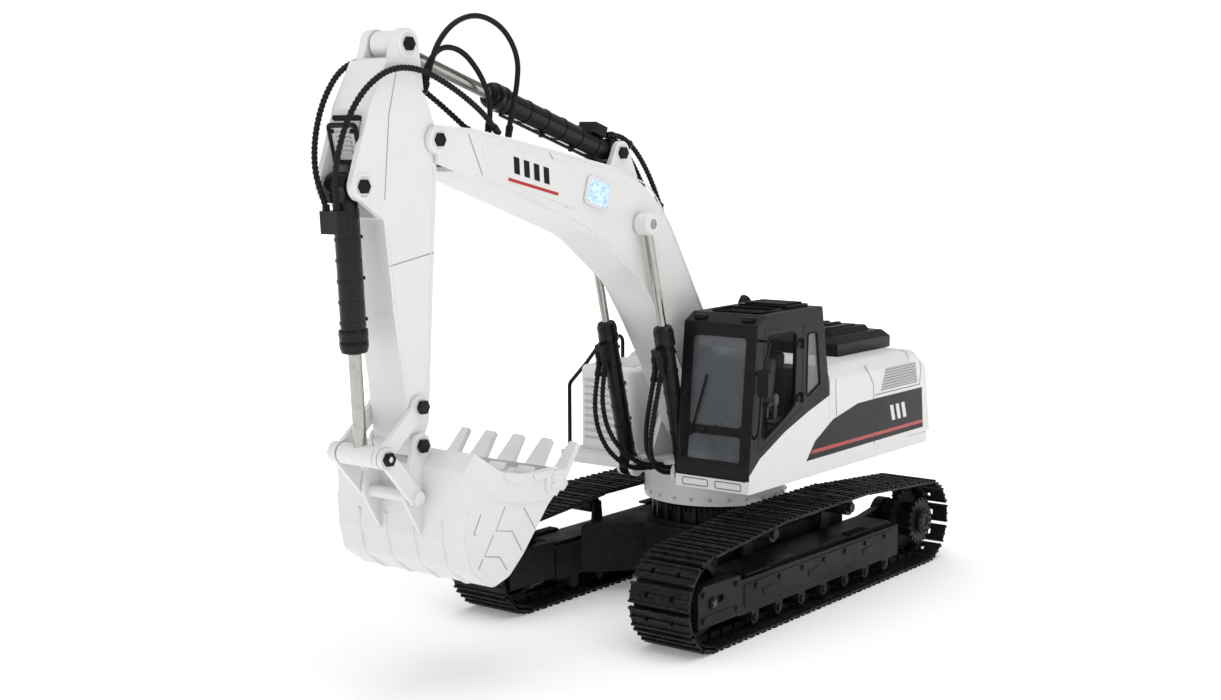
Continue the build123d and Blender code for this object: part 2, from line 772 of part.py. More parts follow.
with BuildPart() as cab_frame:
    with BuildSketch(side(cab_inner_y)):
        add(outline_face(cab_outline, 2.0))
    extrude(amount=-cab_width)
    with BuildSketch(side(cab_inner_y + cab_wall)):
        add(offset(outline_face(cab_outline, 2.5), amount=-cab_wall))
    extrude(amount=-(cab_width - 2 * cab_wall), mode=Mode.SUBTRACT)
    # windows
    with BuildSketch(side(house_half_width + 1)):
        add(outline_face(door_window, 2.5))
        add(outline_face(rear_side_window, 1.5))
    extrude(amount=cab_wall + 2, mode=Mode.SUBTRACT)
    with BuildSketch(side(cab_inner_y - 1)):
        add(outline_face(right_window, 2.5))
    extrude(amount=-(cab_wall + 2), mode=Mode.SUBTRACT)
    with BuildSketch(front_plane(cab_outline[1], cab_outline[2], -1.0)):
        with Locations((0, (windscreen_low[0] + windscreen_low[1]) / 2)):
            RectangleRounded(2 * pane_half, windscreen_low[1] - windscreen_low[0], 3.0)
        with Locations((0, (lower_light[0] + lower_light[1]) / 2)):
            RectangleRounded(2 * pane_half, lower_light[1] - lower_light[0], 2.0)
    extrude(amount=-(cab_wall + 4), mode=Mode.SUBTRACT)
    with BuildSketch(across(cab_rear_x - 2)):
        with Locations((cab_mid_y, 182.0)):
            RectangleRounded(cab_width - 16, 34.0, 3.0)
    extrude(amount=cab_wall + 12, mode=Mode.SUBTRACT)
    with BuildSketch(level(218.0)):
        with Locations((52.0, cab_mid_y)):
            RectangleRounded(26.0, cab_width - 22, 2.5)
    extrude(amount=-8.0, mode=Mode.SUBTRACT)
    # roof rails
    with BuildSketch(level(213.5)):
        with Locations((18.0, cab_mid_y)):
            RectangleRounded(30.0, cab_width - 18, 3.0)
    extrude(amount=3.6)
    # the side panel takes the wall's place below the door's sloping edge
    with BuildSketch(side(house_half_width + 1)):
        add(outline_face(side_panel_outline))
    extrude(amount=panel_thickness + 1, mode=Mode.SUBTRACT)
    # wiper arm, on the front frame
    with BuildSketch(front_plane(cab_outline[1], cab_outline[2], 0.0)):
        with Locations((-pane_half + 8, 40.0)):
            Rectangle(1.2, 44.0, rotation=-14)
        with Locations((-pane_half + 13, 22.6)):
            Circle(2.0)
    extrude(amount=1.2)
write(cab_frame, "cab_frame")

with BuildPart() as cab_side_panel:
    with BuildSketch(side(house_half_width)):
        add(outline_face(side_panel_outline))
    extrude(amount=panel_thickness)
with BuildPart() as house_covers:
    add(body_shell.part)
    add(cab_side_panel.part)
write(house_covers, "house_covers")

with BuildPart() as cab_glass:
    with BuildSketch(side(house_half_width - 0.6)):
        add(offset(outline_face(door_window, 2.5), amount=-glass_gap))
        add(offset(outline_face(rear_side_window, 1.5), amount=-glass_gap))
    extrude(amount=glass_thickness)
    with BuildSketch(side(cab_inner_y + 0.6)):
        add(offset(outline_face(right_window, 2.5), amount=-glass_gap))
    extrude(amount=-glass_thickness)
    with BuildSketch(front_plane(cab_outline[1], cab_outline[2], 0.8)):
        with Locations((0, (windscreen_low[0] + windscreen_low[1]) / 2)):
            glass_high = windscreen_low[1] - windscreen_low[0] - 2 * glass_gap
            RectangleRounded(2 * (pane_half - glass_gap), glass_high, 3.0)
        with Locations((0, (lower_light[0] + lower_light[1]) / 2)):
            glass_low = lower_light[1] - lower_light[0] - 2 * glass_gap
            RectangleRounded(2 * (pane_half - glass_gap), glass_low, 2.0)
    extrude(amount=-glass_thickness)
    with BuildSketch(level(214.0)):
        with Locations((52.0, cab_mid_y)):
            RectangleRounded(26.0 - 2 * glass_gap, cab_width - 22 - 2 * glass_gap, 2.5)
    extrude(amount=-glass_thickness)
write(cab_glass, "cab_glass")

# seat, console and levers on the cab's floor
seat_x = 28.0
floor_z = slab_top_z + cab_wall
with BuildPart() as cab_interior:
    with BuildSketch(level(floor_z)):
        with Locations((seat_x, cab_mid_y)):
            RectangleRounded(22.0, 22.0, 3.0)
    extrude(amount=16.0)
    with BuildSketch(level(floor_z + 16)):
        with Locations((seat_x + 2, cab_mid_y)):
            RectangleRounded(30.0, 28.0, 5.0)
    extrude(amount=8.0)
    with BuildSketch(side(cab_mid_y)):
        with BuildLine():
            Polyline(
                (seat_x - 12, floor_z + 20),
                (seat_x - 4, floor_z + 20),
                (seat_x - 10, floor_z + 66),
                (seat_x - 17, floor_z + 66),
                close=True,
            )
        make_face()
    extrude(amount=13.0, both=True)
    for way in (1, -1):
        with BuildSketch(level(floor_z)):
            with Locations((seat_x + 6, cab_mid_y + way * 20)):
                RectangleRounded(34.0, 8.0, 2.0)
        extrude(amount=30.0)
        with BuildSketch(level(floor_z + 30)):
            with Locations((seat_x + 18, cab_mid_y + way * 20)):
                Circle(1.6)
        extrude(amount=12.0)
write(cab_interior, "cab_interior")

# mirror on a bent arm from the cab's front pillar
mirror_x = 86.0
with BuildPart() as cab_mirror:
    arm_path = [
        (slew_x + 80.0, house_half_width, 198.0),
        (slew_x + 80.0, house_half_width + 7.0, 198.0),
        (slew_x + mirror_x, house_half_width + 7.0, 184.0),
        (slew_x + mirror_x, house_half_width + 7.0, 176.0),
    ]
    with BuildLine() as arm_line:
        FilletPolyline(*arm_path, radius=3.0)
    with BuildSketch(Plane(origin=arm_path[0], z_dir=Vector(*arm_path[1]) - Vector(*arm_path[0]))):
        Circle(0.9)
    sweep(path=arm_line.line)
    mirror_centre = (slew_x + mirror_x, house_half_width + 6.0, 170.0)
    with BuildSketch(Plane(origin=mirror_centre, x_dir=(0, 1, 0), z_dir=(1, 0, 0))):
        RectangleRounded(9.0, 19.0, 2.5)
    extrude(amount=1.6, both=True)
write(cab_mirror, "cab_mirror")

# fuel tank and tool box ahead of the right-hand cover, and its handrail
tank_front_x = 58.0
tank_top_z = 166.0
tank_outer_y = 85.0
tank_width = tank_outer_y - cab_inner_y - 1.0
tank_mid_y = -(tank_outer_y + cab_inner_y + 1.0) / 2
with BuildPart() as side_tank:
    with BuildSketch(level(slab_top_z)):
        with Locations(((tank_front_x + cover_front_x) / 2, tank_mid_y)):
            length_x = tank_front_x - cover_front_x - 2 * seam
            RectangleRounded(length_x, tank_width, 7.0)
    extrude(amount=tank_top_z - slab_top_z)
    fillet(side_tank.faces().sort_by(Axis.Z)[-1].edges(), radius=4.0)
    with BuildSketch(level(tank_top_z)):
        for number in range(6):
            with Locations((tank_front_x - 12 - number * 8, tank_mid_y)):
                Rectangle(3.0, tank_width - 16)
    extrude(amount=1.4)
    with BuildSketch(level(slab_top_z)):
        with Locations(((tank_front_x + cover_front_x) / 2, tank_mid_y)):
            RectangleRounded(length_x - 2 * shell_wall, tank_width - 2 * shell_wall, 4.0)
    extrude(amount=tank_top_z - slab_top_z - 6, mode=Mode.SUBTRACT)
write(side_tank, "side_tank")

rail_radius = 1.5
rail_y = -house_half_width + 3.0
with BuildPart() as handrail:
    rail_points = [
        (slew_x + 64.0, rail_y, slab_top_z),
        (slew_x + 64.0, rail_y, 152.0),
        (slew_x + 44.0, rail_y, 165.0),
        (slew_x + 22.0, rail_y, 182.0),
        (slew_x - 2.0, rail_y, 182.0),
        (slew_x - 2.0, rail_y, slab_top_z),
    ]
    with BuildLine() as rail_line:
        FilletPolyline(*rail_points, radius=5.0)
    with BuildSketch(Plane(origin=rail_points[0], z_dir=(0, 0, 1))):
        Circle(rail_radius)
    sweep(path=rail_line.line)
write(handrail, "handrail")

# ---- boom ----------------------------------------------------------------------------------------
foot_radius = 11.0
nose_radius = 8.6
slot_x = 299.0
ear_half_width = 8.5
ear_thickness = 3.5
boss_radius = 7.5
boom_corners = [
    (stick_pin[0] + 1.0, stick_pin[1] + nose_radius, 1.0),
    (282.5, 340.1, 60.0),
    (102.6, 307.8, 118.0),
    (36.0, 202.5, 60.0),
    (boom_foot[0] - foot_radius, boom_foot[1] + 4, 1.0),
    (boom_foot[0] + foot_radius, boom_foot[1] - 2, 1.0),
    (73.0, 178.0, 60.0),
    (108.0, 231.0, 70.0),
    (163.0, 269.5, 70.0),
    (281.1, 309.3, 60.0),
    (stick_pin[0] + 1.0, stick_pin[1] - nose_radius - 5, 1.0),
]
with BuildSketch() as boom_side:
    with BuildLine():
        FilletPolyline(*[(x, z) for x, z, _ in boom_corners], radius=[r for _, _, r in boom_corners], close=True)
    make_face()

with BuildPart() as boom:
    with BuildSketch(side(0)):
        add(boom_side.sketch)
        with Locations(boom_foot):
            Circle(foot_radius)
        with Locations(stick_pin):
            Circle(nose_radius)
    extrude(amount=boom_half_width, both=True)
    # hollow, open into the slot that the stick's head swings in
    with BuildSketch(side(0)):
        add(offset(boom_side.sketch, amount=-boom_wall))
    extrude(amount=boom_half_width - boom_wall, both=True, mode=Mode.SUBTRACT)
    with BuildSketch(side(0)):
        with Locations(((slot_x + stick_pin[0] + 20) / 2, stick_pin[1])):
            Rectangle(stick_pin[0] + 20 - slot_x, 60.0)
    extrude(amount=fork_inner_y, both=True, mode=Mode.SUBTRACT)
    # bosses: foot, cylinder eyes and nose
    with BuildSketch(side(0)):
        with Locations(boom_foot):
            Circle(foot_radius)
        with Locations(boom_cylinder_eye):
            Circle(boss_radius)
    extrude(amount=boom_half_width, both=True)
    for way in (1, -1):
        with BuildSketch(side(way * boom_half_width)):
            with Locations(boom_cylinder_eye):
                Circle(boss_radius - 1.5)
        extrude(amount=-way * 1.9)
    # ears for the stick cylinder's base
    for way in (1, -1):
        with BuildSketch(side(way * ear_half_width)):
            with BuildLine():
                Polyline(
                    (stick_cylinder_base[0] - 17, 308.0),
                    (stick_cylinder_base[0] + 15, 313.0),
                    (stick_cylinder_base[0] + 7, stick_cylinder_base[1] + 3),
                    (stick_cylinder_base[0] - 7, stick_cylinder_base[1] + 3),
                    close=True,
                )
            make_face()
            with Locations(stick_cylinder_base):
                Circle(8.0)
        extrude(amount=-way * ear_thickness)
    # bores
    with BuildSketch(side(0)):
        with Locations(stick_pin, stick_cylinder_base):
            Circle(bore_radius)
        with Locations(boom_foot):
            Circle(bore_radius + 1.4)
    extrude(amount=boom_half_width + 5, both=True, mode=Mode.SUBTRACT)
write(boom, "boom")

nose_pin = pin_with_heads([stick_pin], boom_half_width)
ear_pin = pin_with_heads([stick_cylinder_base], ear_half_width + ear_thickness)
with BuildPart() as boom_pins:
    add(nose_pin.part)
    add(ear_pin.part)
write(boom_pins, "boom_pins")

# work lamps, one on each side of the boom
lamp_centre = (166.0, 298.5)
lamp_size = (21.0, 15.0)
with BuildPart() as boom_lamps:
    for way in (1, -1):
        with BuildSketch(side(way * boom_half_width)):
            with Locations(Location((lamp_centre[0], lamp_centre[1], 0), (0, 0, 17))):
                RectangleRounded(*lamp_size, 3.0)
        extrude(amount=-way * 2.0)
        with BuildSketch(side(way * (boom_half_width + 2))):
            with Locations(Location((lamp_centre[0], lamp_centre[1], 0), (0, 0, 17))):
                RectangleRounded(lamp_size[0] - 4, lamp_size[1] - 4, 2.5)
        extrude(amount=-way * 1.2)
write(boom_lamps, "boom_lamps")

# ---- stick ---------------------------------------------------------------------------------------
stick_outline = [
    (328.5, 159.0),
    (340.0, 159.0),
    (342.2, 178.0),
    (344.0, 195.0),
    (350.9, 232.0),
    (357.2, 285.0),
    (363.7, 326.0),
    (367.7, 351.4),
    (352.5, 379.0),
    (342.8, 378.0),
    (333.1, 372.6),
    (320.0, 355.4),
    (314.1, 339.3),
    (313.6, 316.0),
    (315.3, 289.0),
    (318.4, 244.0),
    (321.7, 194.0),
    (323.6, 168.0),
]
head_radius = 9.0
head_slot_y = 9.0
stick_boss = 7.0
cheek_inner_y = 11.0
with BuildSketch() as stick_side:
    with BuildLine():
        Polyline(*stick_outline, close=True)
    make_face()

with BuildPart() as stick:
    with BuildSketch(side(0)):
        add(stick_side.sketch)
        with Locations(bucket_pivot, rocker_pivot):
            Circle(stick_boss)
        with Locations(stick_pin):
            Circle(nose_radius)
        # top ears, cut apart below
        with BuildLine():
            Polyline(
                (323.5, 362.0),
                (stick_cylinder_eye[0] - head_radius, stick_cylinder_eye[1]),
                (stick_cylinder_eye[0] + head_radius, stick_cylinder_eye[1]),
                (350.0, 374.0),
                close=True,
            )
        make_face()
        with Locations(stick_cylinder_eye):
            Circle(head_radius)
        # cheeks for the bucket cylinder's top
        with BuildLine():
            Polyline(
                (357.0, 288.0),
                (bucket_cylinder_top[0] + 1.0, bucket_cylinder_top[1] - 8.3),
                (bucket_cylinder_top[0] + 7.4, bucket_cylinder_top[1] + 4.4),
                (367.5, 350.0),
                (358.0, 350.0),
                close=True,
            )
        make_face()
        with Locations(bucket_cylinder_top):
            Circle(8.4)
    extrude(amount=stick_half_width, both=True)
    # hollow
    with BuildSketch(side(0)):
        add(offset(stick_side.sketch, amount=-stick_wall))
    extrude(amount=stick_half_width - stick_wall, both=True, mode=Mode.SUBTRACT)
    # slot between the top ears, and the bay between the cheeks
    with BuildSketch(side(0)):
        with Locations(stick_cylinder_eye):
            Circle(head_radius + 5.2)
        with Locations((stick_cylinder_eye[0] - 12, stick_cylinder_eye[1] - 4)):
            Rectangle(20.0, 14.0)
    extrude(amount=head_slot_y, both=True, mode=Mode.SUBTRACT)
    with BuildSketch(side(0)):
        with BuildLine():
            Polyline(
                (359.5, 284.0),
                (390.0, 284.0),
                (390.0, 345.0),
                (359.5, 345.0),
                close=True,
            )
        make_face()
    extrude(amount=cheek_inner_y, both=True, mode=Mode.SUBTRACT)
    # bosses inside, then the bores
    with BuildSketch(side(0)):
        with Locations(bucket_pivot, rocker_pivot):
            Circle(stick_boss)
        with Locations(stick_pin):
            Circle(nose_radius)
    extrude(amount=stick_half_width, both=True)
    with BuildSketch(side(0)):
        with Locations(bucket_pivot, rocker_pivot, stick_pin, stick_cylinder_eye, bucket_cylinder_top):
            Circle(bore_radius)
    extrude(amount=stick_half_width + 5, both=True, mode=Mode.SUBTRACT)
write(stick, "stick")

rocker_outer_y = rocker_inner_y + plate_thickness
lower_pins = pin_with_heads([rocker_pivot, bucket_pivot], rocker_outer_y + side_gap)
top_bolts = stub_bolts([stick_cylinder_eye], head_slot_y + 0.3, stick_half_width)
cheek_bolts = stub_bolts([bucket_cylinder_top], cheek_inner_y + 0.3, stick_half_width)
with BuildPart() as stick_pins:
    add(lower_pins.part)
    add(top_bolts.part)
    add(cheek_bolts.part)
write(stick_pins, "stick_pins")

# motor box between the cheeks, above the bucket cylinder's eye
with BuildPart() as motor_box:
    with BuildSketch(side(0)):
        with BuildLine():
            Polyline(
                (360.2, 322.0),
                (370.0, 322.0),
                (374.5, 341.0),
                (372.0, 344.4),
                (360.2, 344.4),
                close=True,
            )
        make_face()
    extrude(amount=cheek_inner_y - 1.0, both=True)
write(motor_box, "motor_box")

# ---- bucket --------------------------------------------------------------------------------------
bucket_shell_line = [
    (325.0, 153.0),
    (334.2, 143.5),
    (334.8, 101.0),
    (330.4, 83.1),
    (311.6, 70.1),
    (296.0, 74.5),
    (283.2, 85.3),
    (259.6, 111.5),
    (237.5, 129.5),
]
bucket_rim_line = [
    (252.0, 134.0),
    (279.3, 134.0),
    (303.0, 139.4),
    (317.0, 148.0),
]
tooth_tip = (224.5, 144.0)
with BuildSketch() as bucket_side:
    with BuildLine():
        Polyline(*bucket_shell_line, *bucket_rim_line, close=True)
    make_face()
    lower_corners = bucket_side.vertices().sort_by(Axis.Y)[:4]
    fillet(lower_corners, radius=9.0)
with BuildSketch() as bucket_inside:
    add(offset(bucket_side.sketch, amount=-bucket_wall))
    with BuildLine():
        Polyline(
            (244.0, 128.3),
            (264.0, 112.6),
            (322.0, 140.0),
            (326.5, 145.2),
            (321.0, 160.0),
            (250.0, 160.0),
            close=True,
        )
    make_face()

ear_y0 = rocker_inner_y
with BuildPart() as bucket:
    with BuildSketch(side(0)):
        add(bucket_side.sketch)
    extrude(amount=bucket_half_width, both=True)
    with BuildSketch(side(0)):
        add(bucket_inside.sketch)
    extrude(amount=bucket_half_width - bucket_wall, both=True, mode=Mode.SUBTRACT)
    # ears round the stick's end, with the cross tube for the link
    for way in (1, -1):
        with BuildSketch(side(way * ear_y0)):
            with BuildLine():
                Polyline(
                    (324.0, 148.5),
                    (bucket_pivot[0] - 6.5, bucket_pivot[1] + 3.5),
                    (bucket_pivot[0] + 5.0, bucket_pivot[1] + 6.5),
                    (bucket_link_pin[0] + 6.5, bucket_link_pin[1] + 4.0),
                    (bucket_link_pin[0] + 5.0, bucket_link_pin[1] - 5.0),
                    (335.6, 103.0),
                    (334.0, 103.0),
                    (333.2, 142.0),
                    close=True,
                )
            make_face()
            with Locations(bucket_pivot):
                Circle(7.5)
            with Locations(bucket_link_pin):
                Circle(6.5)
        extrude(amount=-way * plate_thickness)
    with BuildSketch(side(0)):
        with Locations(bucket_link_pin):
            Circle(3.6)
    extrude(amount=ear_y0, both=True)
    with BuildSketch(side(0)):
        with Locations(bucket_pivot):
            Circle(bore_radius)
    extrude(amount=rocker_outer_y + 1, both=True, mode=Mode.SUBTRACT)
    # teeth on the lip
    lip = (240.5, 126.8)
    tooth_angle = math.degrees(math.atan2(tooth_tip[1] - lip[1], tooth_tip[0] - lip[0]))
    for number in range(tooth_count):
        tooth_y = (number - (tooth_count - 1) / 2) * tooth_spacing
        half = 6.6 if abs(tooth_y) < 2 * tooth_spacing - 1 else 4.8
        middle_y = tooth_y + (6.6 - half) * (-1 if tooth_y > 0 else 1)
        tooth_plane = Plane(
            origin=(slew_x + lip[0], middle_y, lip[1]),
            x_dir=(0, 1, 0),
            z_dir=(math.cos(math.radians(tooth_angle + 90)), 0, math.sin(math.radians(tooth_angle + 90))),
        )
        reach = math.dist(lip, tooth_tip)
        with BuildSketch(tooth_plane.offset(-2.0)) as blade:
            with BuildLine():
                Polyline(
                    (-half, 14.0),
                    (half, 14.0),
                    (half, -4.0),
                    (half * 0.62, -reach),
                    (-half * 0.62, -reach),
                    (-half, -4.0),
                    close=True,
                )
            make_face()
        extrude(amount=4.0)
write(bucket, "bucket")

# ---- linkage: rockers on the stick, links to the bucket ------------------------------------------
arm_half = 5.0
linkage_pin = pin_with_heads([rocker_end], link_outer_y, head=4.0)
with BuildPart() as rocker:
    for way in (1, -1):
        with BuildSketch(side(way * rocker_inner_y)):
            with Locations(rocker_pivot, rocker_end):
                Circle(6.6)
            with BuildLine():
                span = math.dist(rocker_pivot, rocker_end)
                shift_x = (rocker_end[1] - rocker_pivot[1]) / span * arm_half
                shift_z = (rocker_end[0] - rocker_pivot[0]) / span * arm_half
                Polyline(
                    (rocker_pivot[0] + shift_x, rocker_pivot[1] - shift_z),
                    (rocker_end[0] + shift_x, rocker_end[1] - shift_z),
                    (rocker_end[0] - shift_x, rocker_end[1] + shift_z),
                    (rocker_pivot[0] - shift_x, rocker_pivot[1] + shift_z),
                    close=True,
                )
            make_face()
        extrude(amount=-way * plate_thickness)
    with BuildSketch(side(0)):
        with Locations(rocker_pivot):
            Circle(bore_radius)
        with Locations(rocker_end):
            Circle(bore_radius)
    extrude(amount=rocker_outer_y + 1, both=True, mode=Mode.SUBTRACT)
    add(linkage_pin.part)
write(rocker, "rocker_arms")

with BuildPart() as link:
    for way in (1, -1):
        with BuildSketch(side(way * link_inner_y)):
            with Locations(rocker_end):
                Circle(6.2)
            with Locations(bucket_link_pin):
                Circle(5.2)
            with BuildLine():
                span = math.dist(rocker_end, bucket_link_pin)
                shift_x = (bucket_link_pin[1] - rocker_end[1]) / span * arm_half
                shift_z = (bucket_link_pin[0] - rocker_end[0]) / span * arm_half
                Polyline(
                    (rocker_end[0] + shift_x, rocker_end[1] - shift_z),
                    (bucket_link_pin[0] + shift_x, bucket_link_pin[1] - shift_z),
                    (bucket_link_pin[0] - shift_x, bucket_link_pin[1] + shift_z),
                    (rocker_end[0] - shift_x, rocker_end[1] + shift_z),
                    close=True,
                )
            make_face()
        extrude(amount=-way * plate_thickness)
        with BuildSketch(side(way * link_outer_y)):
            with Locations(bucket_link_pin):
                RegularPolygon(4.2, 6)
        extrude(amount=-way * pin_head_height)
    with BuildSketch(side(0)):
        with Locations(rocker_end):
            Circle(bore_radius)
    extrude(amount=link_outer_y + 1, both=True, mode=Mode.SUBTRACT)
write(link, "bucket_links")

# ---- hydraulic cylinders -------------------------------------------------------------------------
gland_length = 13.0
neck = 9.0                # from a barrel's base pin to where its full tube starts


def make_barrel(base, tip, y, tube, rod, length, eye_half, block_at, block_side, pin_bore=True):
    """A barrel from its base eye at base towards tip: tube, gland, hard pipe with clips and valve block."""
    reach = tube + 1.9
    with BuildPart() as barrel:
        with BuildSketch(side(y)):
            with Locations(base):
                Circle(tube + 0.8)
        extrude(amount=eye_half, both=True)
        with BuildSketch(axis_plane(base, tip, y)):
            Rectangle(2 * eye_half, 2 * tube)
        extrude(amount=neck)
        with BuildSketch(axis_plane(base, tip, y, neck)):
            Circle(tube)
        extrude(amount=length - neck)
        with BuildSketch(axis_plane(base, tip, y, length - gland_length)):
            Circle(tube + 1.1)
        extrude(amount=gland_length - 2)
        # hard pipe along the tube, its clips, and the valve block
        with BuildSketch(axis_plane(base, tip, y, tube + 6)):
            with Locations((0, -block_side * reach)):
                Circle(1.1)
        extrude(amount=length - gland_length - tube - 6)
        for share in (0.3, 0.55, 0.8):
            with BuildSketch(axis_plane(base, tip, y, share * length)):
                with Locations((0, -block_side * reach / 2)):
                    Rectangle(3.4, reach + 3)
            extrude(amount=2.0)
        with BuildSketch(axis_plane(base, tip, y, block_at)):
            with Locations((0, block_side * (tube + 2.6))):
                Rectangle(min(2 * tube, 2 * eye_half) - 0.2, 7.2)
        extrude(amount=13.0)
        with BuildSketch(axis_plane(base, tip, y, tube + 4)):
            Circle(rod + running_gap)
        extrude(amount=length, mode=Mode.SUBTRACT)
        if pin_bore:
            with BuildSketch(side(y)):
                with Locations(base):
                    Circle(bore_radius)
            extrude(amount=eye_half + 1, both=True, mode=Mode.SUBTRACT)
    return barrel


def make_rod(base, tip, y, rod, inner_end, eye, eye_half, pin_bore=True):
    """A rod from inside the barrel out to its eye at tip."""
    with BuildPart() as piece:
        with BuildSketch(axis_plane(base, tip, y, inner_end)):
            Circle(rod)
        extrude(amount=math.dist(base, tip) - inner_end)
        with BuildSketch(side(y)):
            with Locations(tip):
                Circle(eye)
        extrude(amount=eye_half, both=True)
        if pin_bore:
            with BuildSketch(side(y)):
                with Locations(tip):
                    Circle(bore_radius)
            extrude(amount=eye_half + 1, both=True, mode=Mode.SUBTRACT)
    return piece


boom_tube = 5.9
boom_rod = 2.9
boom_gland = 109.9
with BuildPart() as boom_barrels:
    for way in (1, -1):
        add(make_barrel(boom_cylinder_base, boom_cylinder_eye, way * boom_cylinder_y,
                        boom_tube, boom_rod, boom_gland, eye_half_width, 84.0, -1).part)
write(boom_barrels, "boom_cylinder_barrels")

rod_eye_half = 4.2
with BuildPart() as boom_rods:
    for way in (1, -1):
        add(make_rod(boom_cylinder_base, boom_cylinder_eye, way * boom_cylinder_y,
                     boom_rod, 42.0, 6.4, rod_eye_half, pin_bore=False).part)
        with BuildSketch(side(way * (boom_cylinder_y + rod_eye_half))):
            with Locations(boom_cylinder_eye):
                RegularPolygon(3.6, 6)
        extrude(amount=-way * 1.8)
write(boom_rods, "boom_cylinder_rods")

stick_tube = 7.2
stick_rod = 3.9
stick_barrel = make_barrel(stick_cylinder_base, stick_cylinder_eye, 0.0,
                           stick_tube, stick_rod, 125.4, ear_half_width - 0.4, 14.0, 1)
write(stick_barrel, "stick_cylinder_barrel")
stick_rod_piece = make_rod(stick_cylinder_base, stick_cylinder_eye, 0.0,
                           stick_rod, 45.0, 7.6, head_slot_y - 0.6, pin_bore=False)
write(stick_rod_piece, "stick_cylinder_rod")

bucket_tube = 7.2
bucket_rod = 3.9
bucket_barrel = make_barrel(bucket_cylinder_top, rocker_end, 0.0,
                            bucket_tube, bucket_rod, 95.0, 8.0, 13.0, 1, pin_bore=False)
write(bucket_barrel, "bucket_cylinder_barrel")
bucket_rod_piece = make_rod(bucket_cylinder_top, rocker_end, 0.0,
                            bucket_rod, 52.0, 6.0, rocker_inner_y - side_gap)
write(bucket_rod_piece, "bucket_cylinder_rod")

# ---- hoses ---------------------------------------------------------------------------------------
hose_radius = 1.7
bend_share = 0.45         # of the shorter run, that a bend may take up


def hose(name, points):
    """A hose along straight runs joined by the largest arcs that its runs allow."""
    places = [Vector(slew_x + x, y, z) for x, y, z in points]
    radii = []
    for before, corner, after in zip(places, places[1:], places[2:]):
        turn = math.radians((corner - before).get_angle(after - corner))
        shorter = min((corner - before).length, (after - corner).length)
        radii.append(bend_share * shorter / math.tan(turn / 2))
    with BuildPart() as tube:
        with BuildLine() as route:
            FilletPolyline(*places, radius=radii)
        with BuildSketch(Plane(origin=places[0], z_dir=places[1] - places[0])):
            Circle(hose_radius)
        sweep(path=route.line)
    section = math.pi * hose_radius ** 2
    length = sum(edge.length for edge in route.edges())
    print(name, "length", round(length), "radii", [round(r) for r in radii],
          "volume over section x length", round(tube.part.volume / (section * length), 3))
    return tube


# from the top of the boom, past the stick's sides, to the bucket cylinder's valve block
bucket_hose_left = [
    (256.4, 13.0, 337.5), (268.0, 15.5, 345.8), (286.0, 18.5, 355.5), (308.0, 19.6, 366.0),
    (332.0, 19.8, 374.5), (355.0, 19.4, 374.0), (374.0, 18.0, 362.0), (385.0, 15.5, 345.0),
    (389.0, 11.5, 326.0), (387.5, 7.0, 309.5), (383.8, 4.4, 296.0),
]
bucket_hose_right = [
    (250.4, -13.0, 336.4), (264.0, -15.5, 347.0), (284.0, -18.5, 361.0), (308.0, -19.8, 374.0),
    (333.0, -20.0, 381.0), (354.0, -19.4, 376.0), (369.0, -18.4, 360.0), (379.0, -16.4, 340.0),
    (384.5, -12.5, 321.0), (385.5, -8.0, 307.5), (383.4, -4.4, 296.0),
]
# slack loops from the back of the stick's head to the top of the boom
loop_outer = [
    (321.5, 13.0, 360.6), (317.0, 13.2, 374.0), (309.0, 13.2, 391.0), (293.0, 13.2, 404.0),
    (272.0, 13.2, 408.5), (250.0, 13.2, 401.0), (237.0, 13.2, 384.0), (239.0, 13.2, 365.0),
    (244.5, 13.2, 350.0), (247.5, 13.2, 335.4),
]
loop_inner = [
    (321.8, 8.6, 362.2), (315.0, 9.4, 377.0), (303.0, 9.6, 388.5), (285.0, 9.6, 387.0),
    (270.0, 9.6, 375.0), (261.0, 9.6, 361.0), (259.5, 9.6, 348.0), (261.0, 8.6, 337.2),
]
bucket_hoses = [
    hose("bucket hose left", bucket_hose_left),
    hose("bucket hose right", bucket_hose_right),
    hose("slack loop outer", loop_outer),
    hose("slack loop inner", loop_inner),
]
with BuildPart() as stick_hoses:
    for tube in bucket_hoses:
        add(tube.part)
write(stick_hoses, "stick_hoses")

# from the stick cylinder's valve block down the boom's back
back_points = [
    (137.6, 336.4), (125.0, 336.6), (112.0, 331.0), (99.0, 320.0), (87.0, 305.0),
    (76.5, 287.0), (66.0, 267.0), (55.4, 247.5), (46.9, 228.6), (39.4, 214.4),
]
back_ys = (4.6, -4.6)
with BuildPart() as boom_back_hoses:
    for y in back_ys:
        add(hose("boom back hose", [(x, y, z) for x, z in back_points]).part)
write(boom_back_hoses, "boom_back_hoses")

# from each boom cylinder's valve block down to the front of the floor slab
cylinder_hose_inner = [
    (106.5, 21.8, 174.0), (110.0, 21.4, 160.0), (112.0, 19.6, 145.0), (110.0, 16.4, 130.0),
    (103.0, 12.2, 117.0), (91.0, 8.8, 107.0), (76.0, 7.4, 100.5), (58.8, 7.0, 98.5),
]
cylinder_hose_outer = [
    (106.5, 27.2, 174.0), (110.6, 27.0, 159.0), (113.6, 25.6, 143.0), (112.6, 22.4, 127.0),
    (106.0, 18.0, 113.0), (93.0, 14.4, 102.6), (77.0, 13.2, 97.4), (58.8, 13.0, 97.0),
]
with BuildPart() as cylinder_hoses:
    for way in (1, -1):
        for points in (cylinder_hose_inner, cylinder_hose_outer):
            add(hose("boom cylinder hose", [(x, way * y, z) for x, y, z in points]).part)
write(cylinder_hoses, "cylinder_hoses")
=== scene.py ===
"""Looks of the toy excavator: finishes for the fixed frame, and the detail that rides on its bodies.

Shapes are written in millimetres as (ahead of the slew axis, to the left, above the ground).
"""

import json
import math

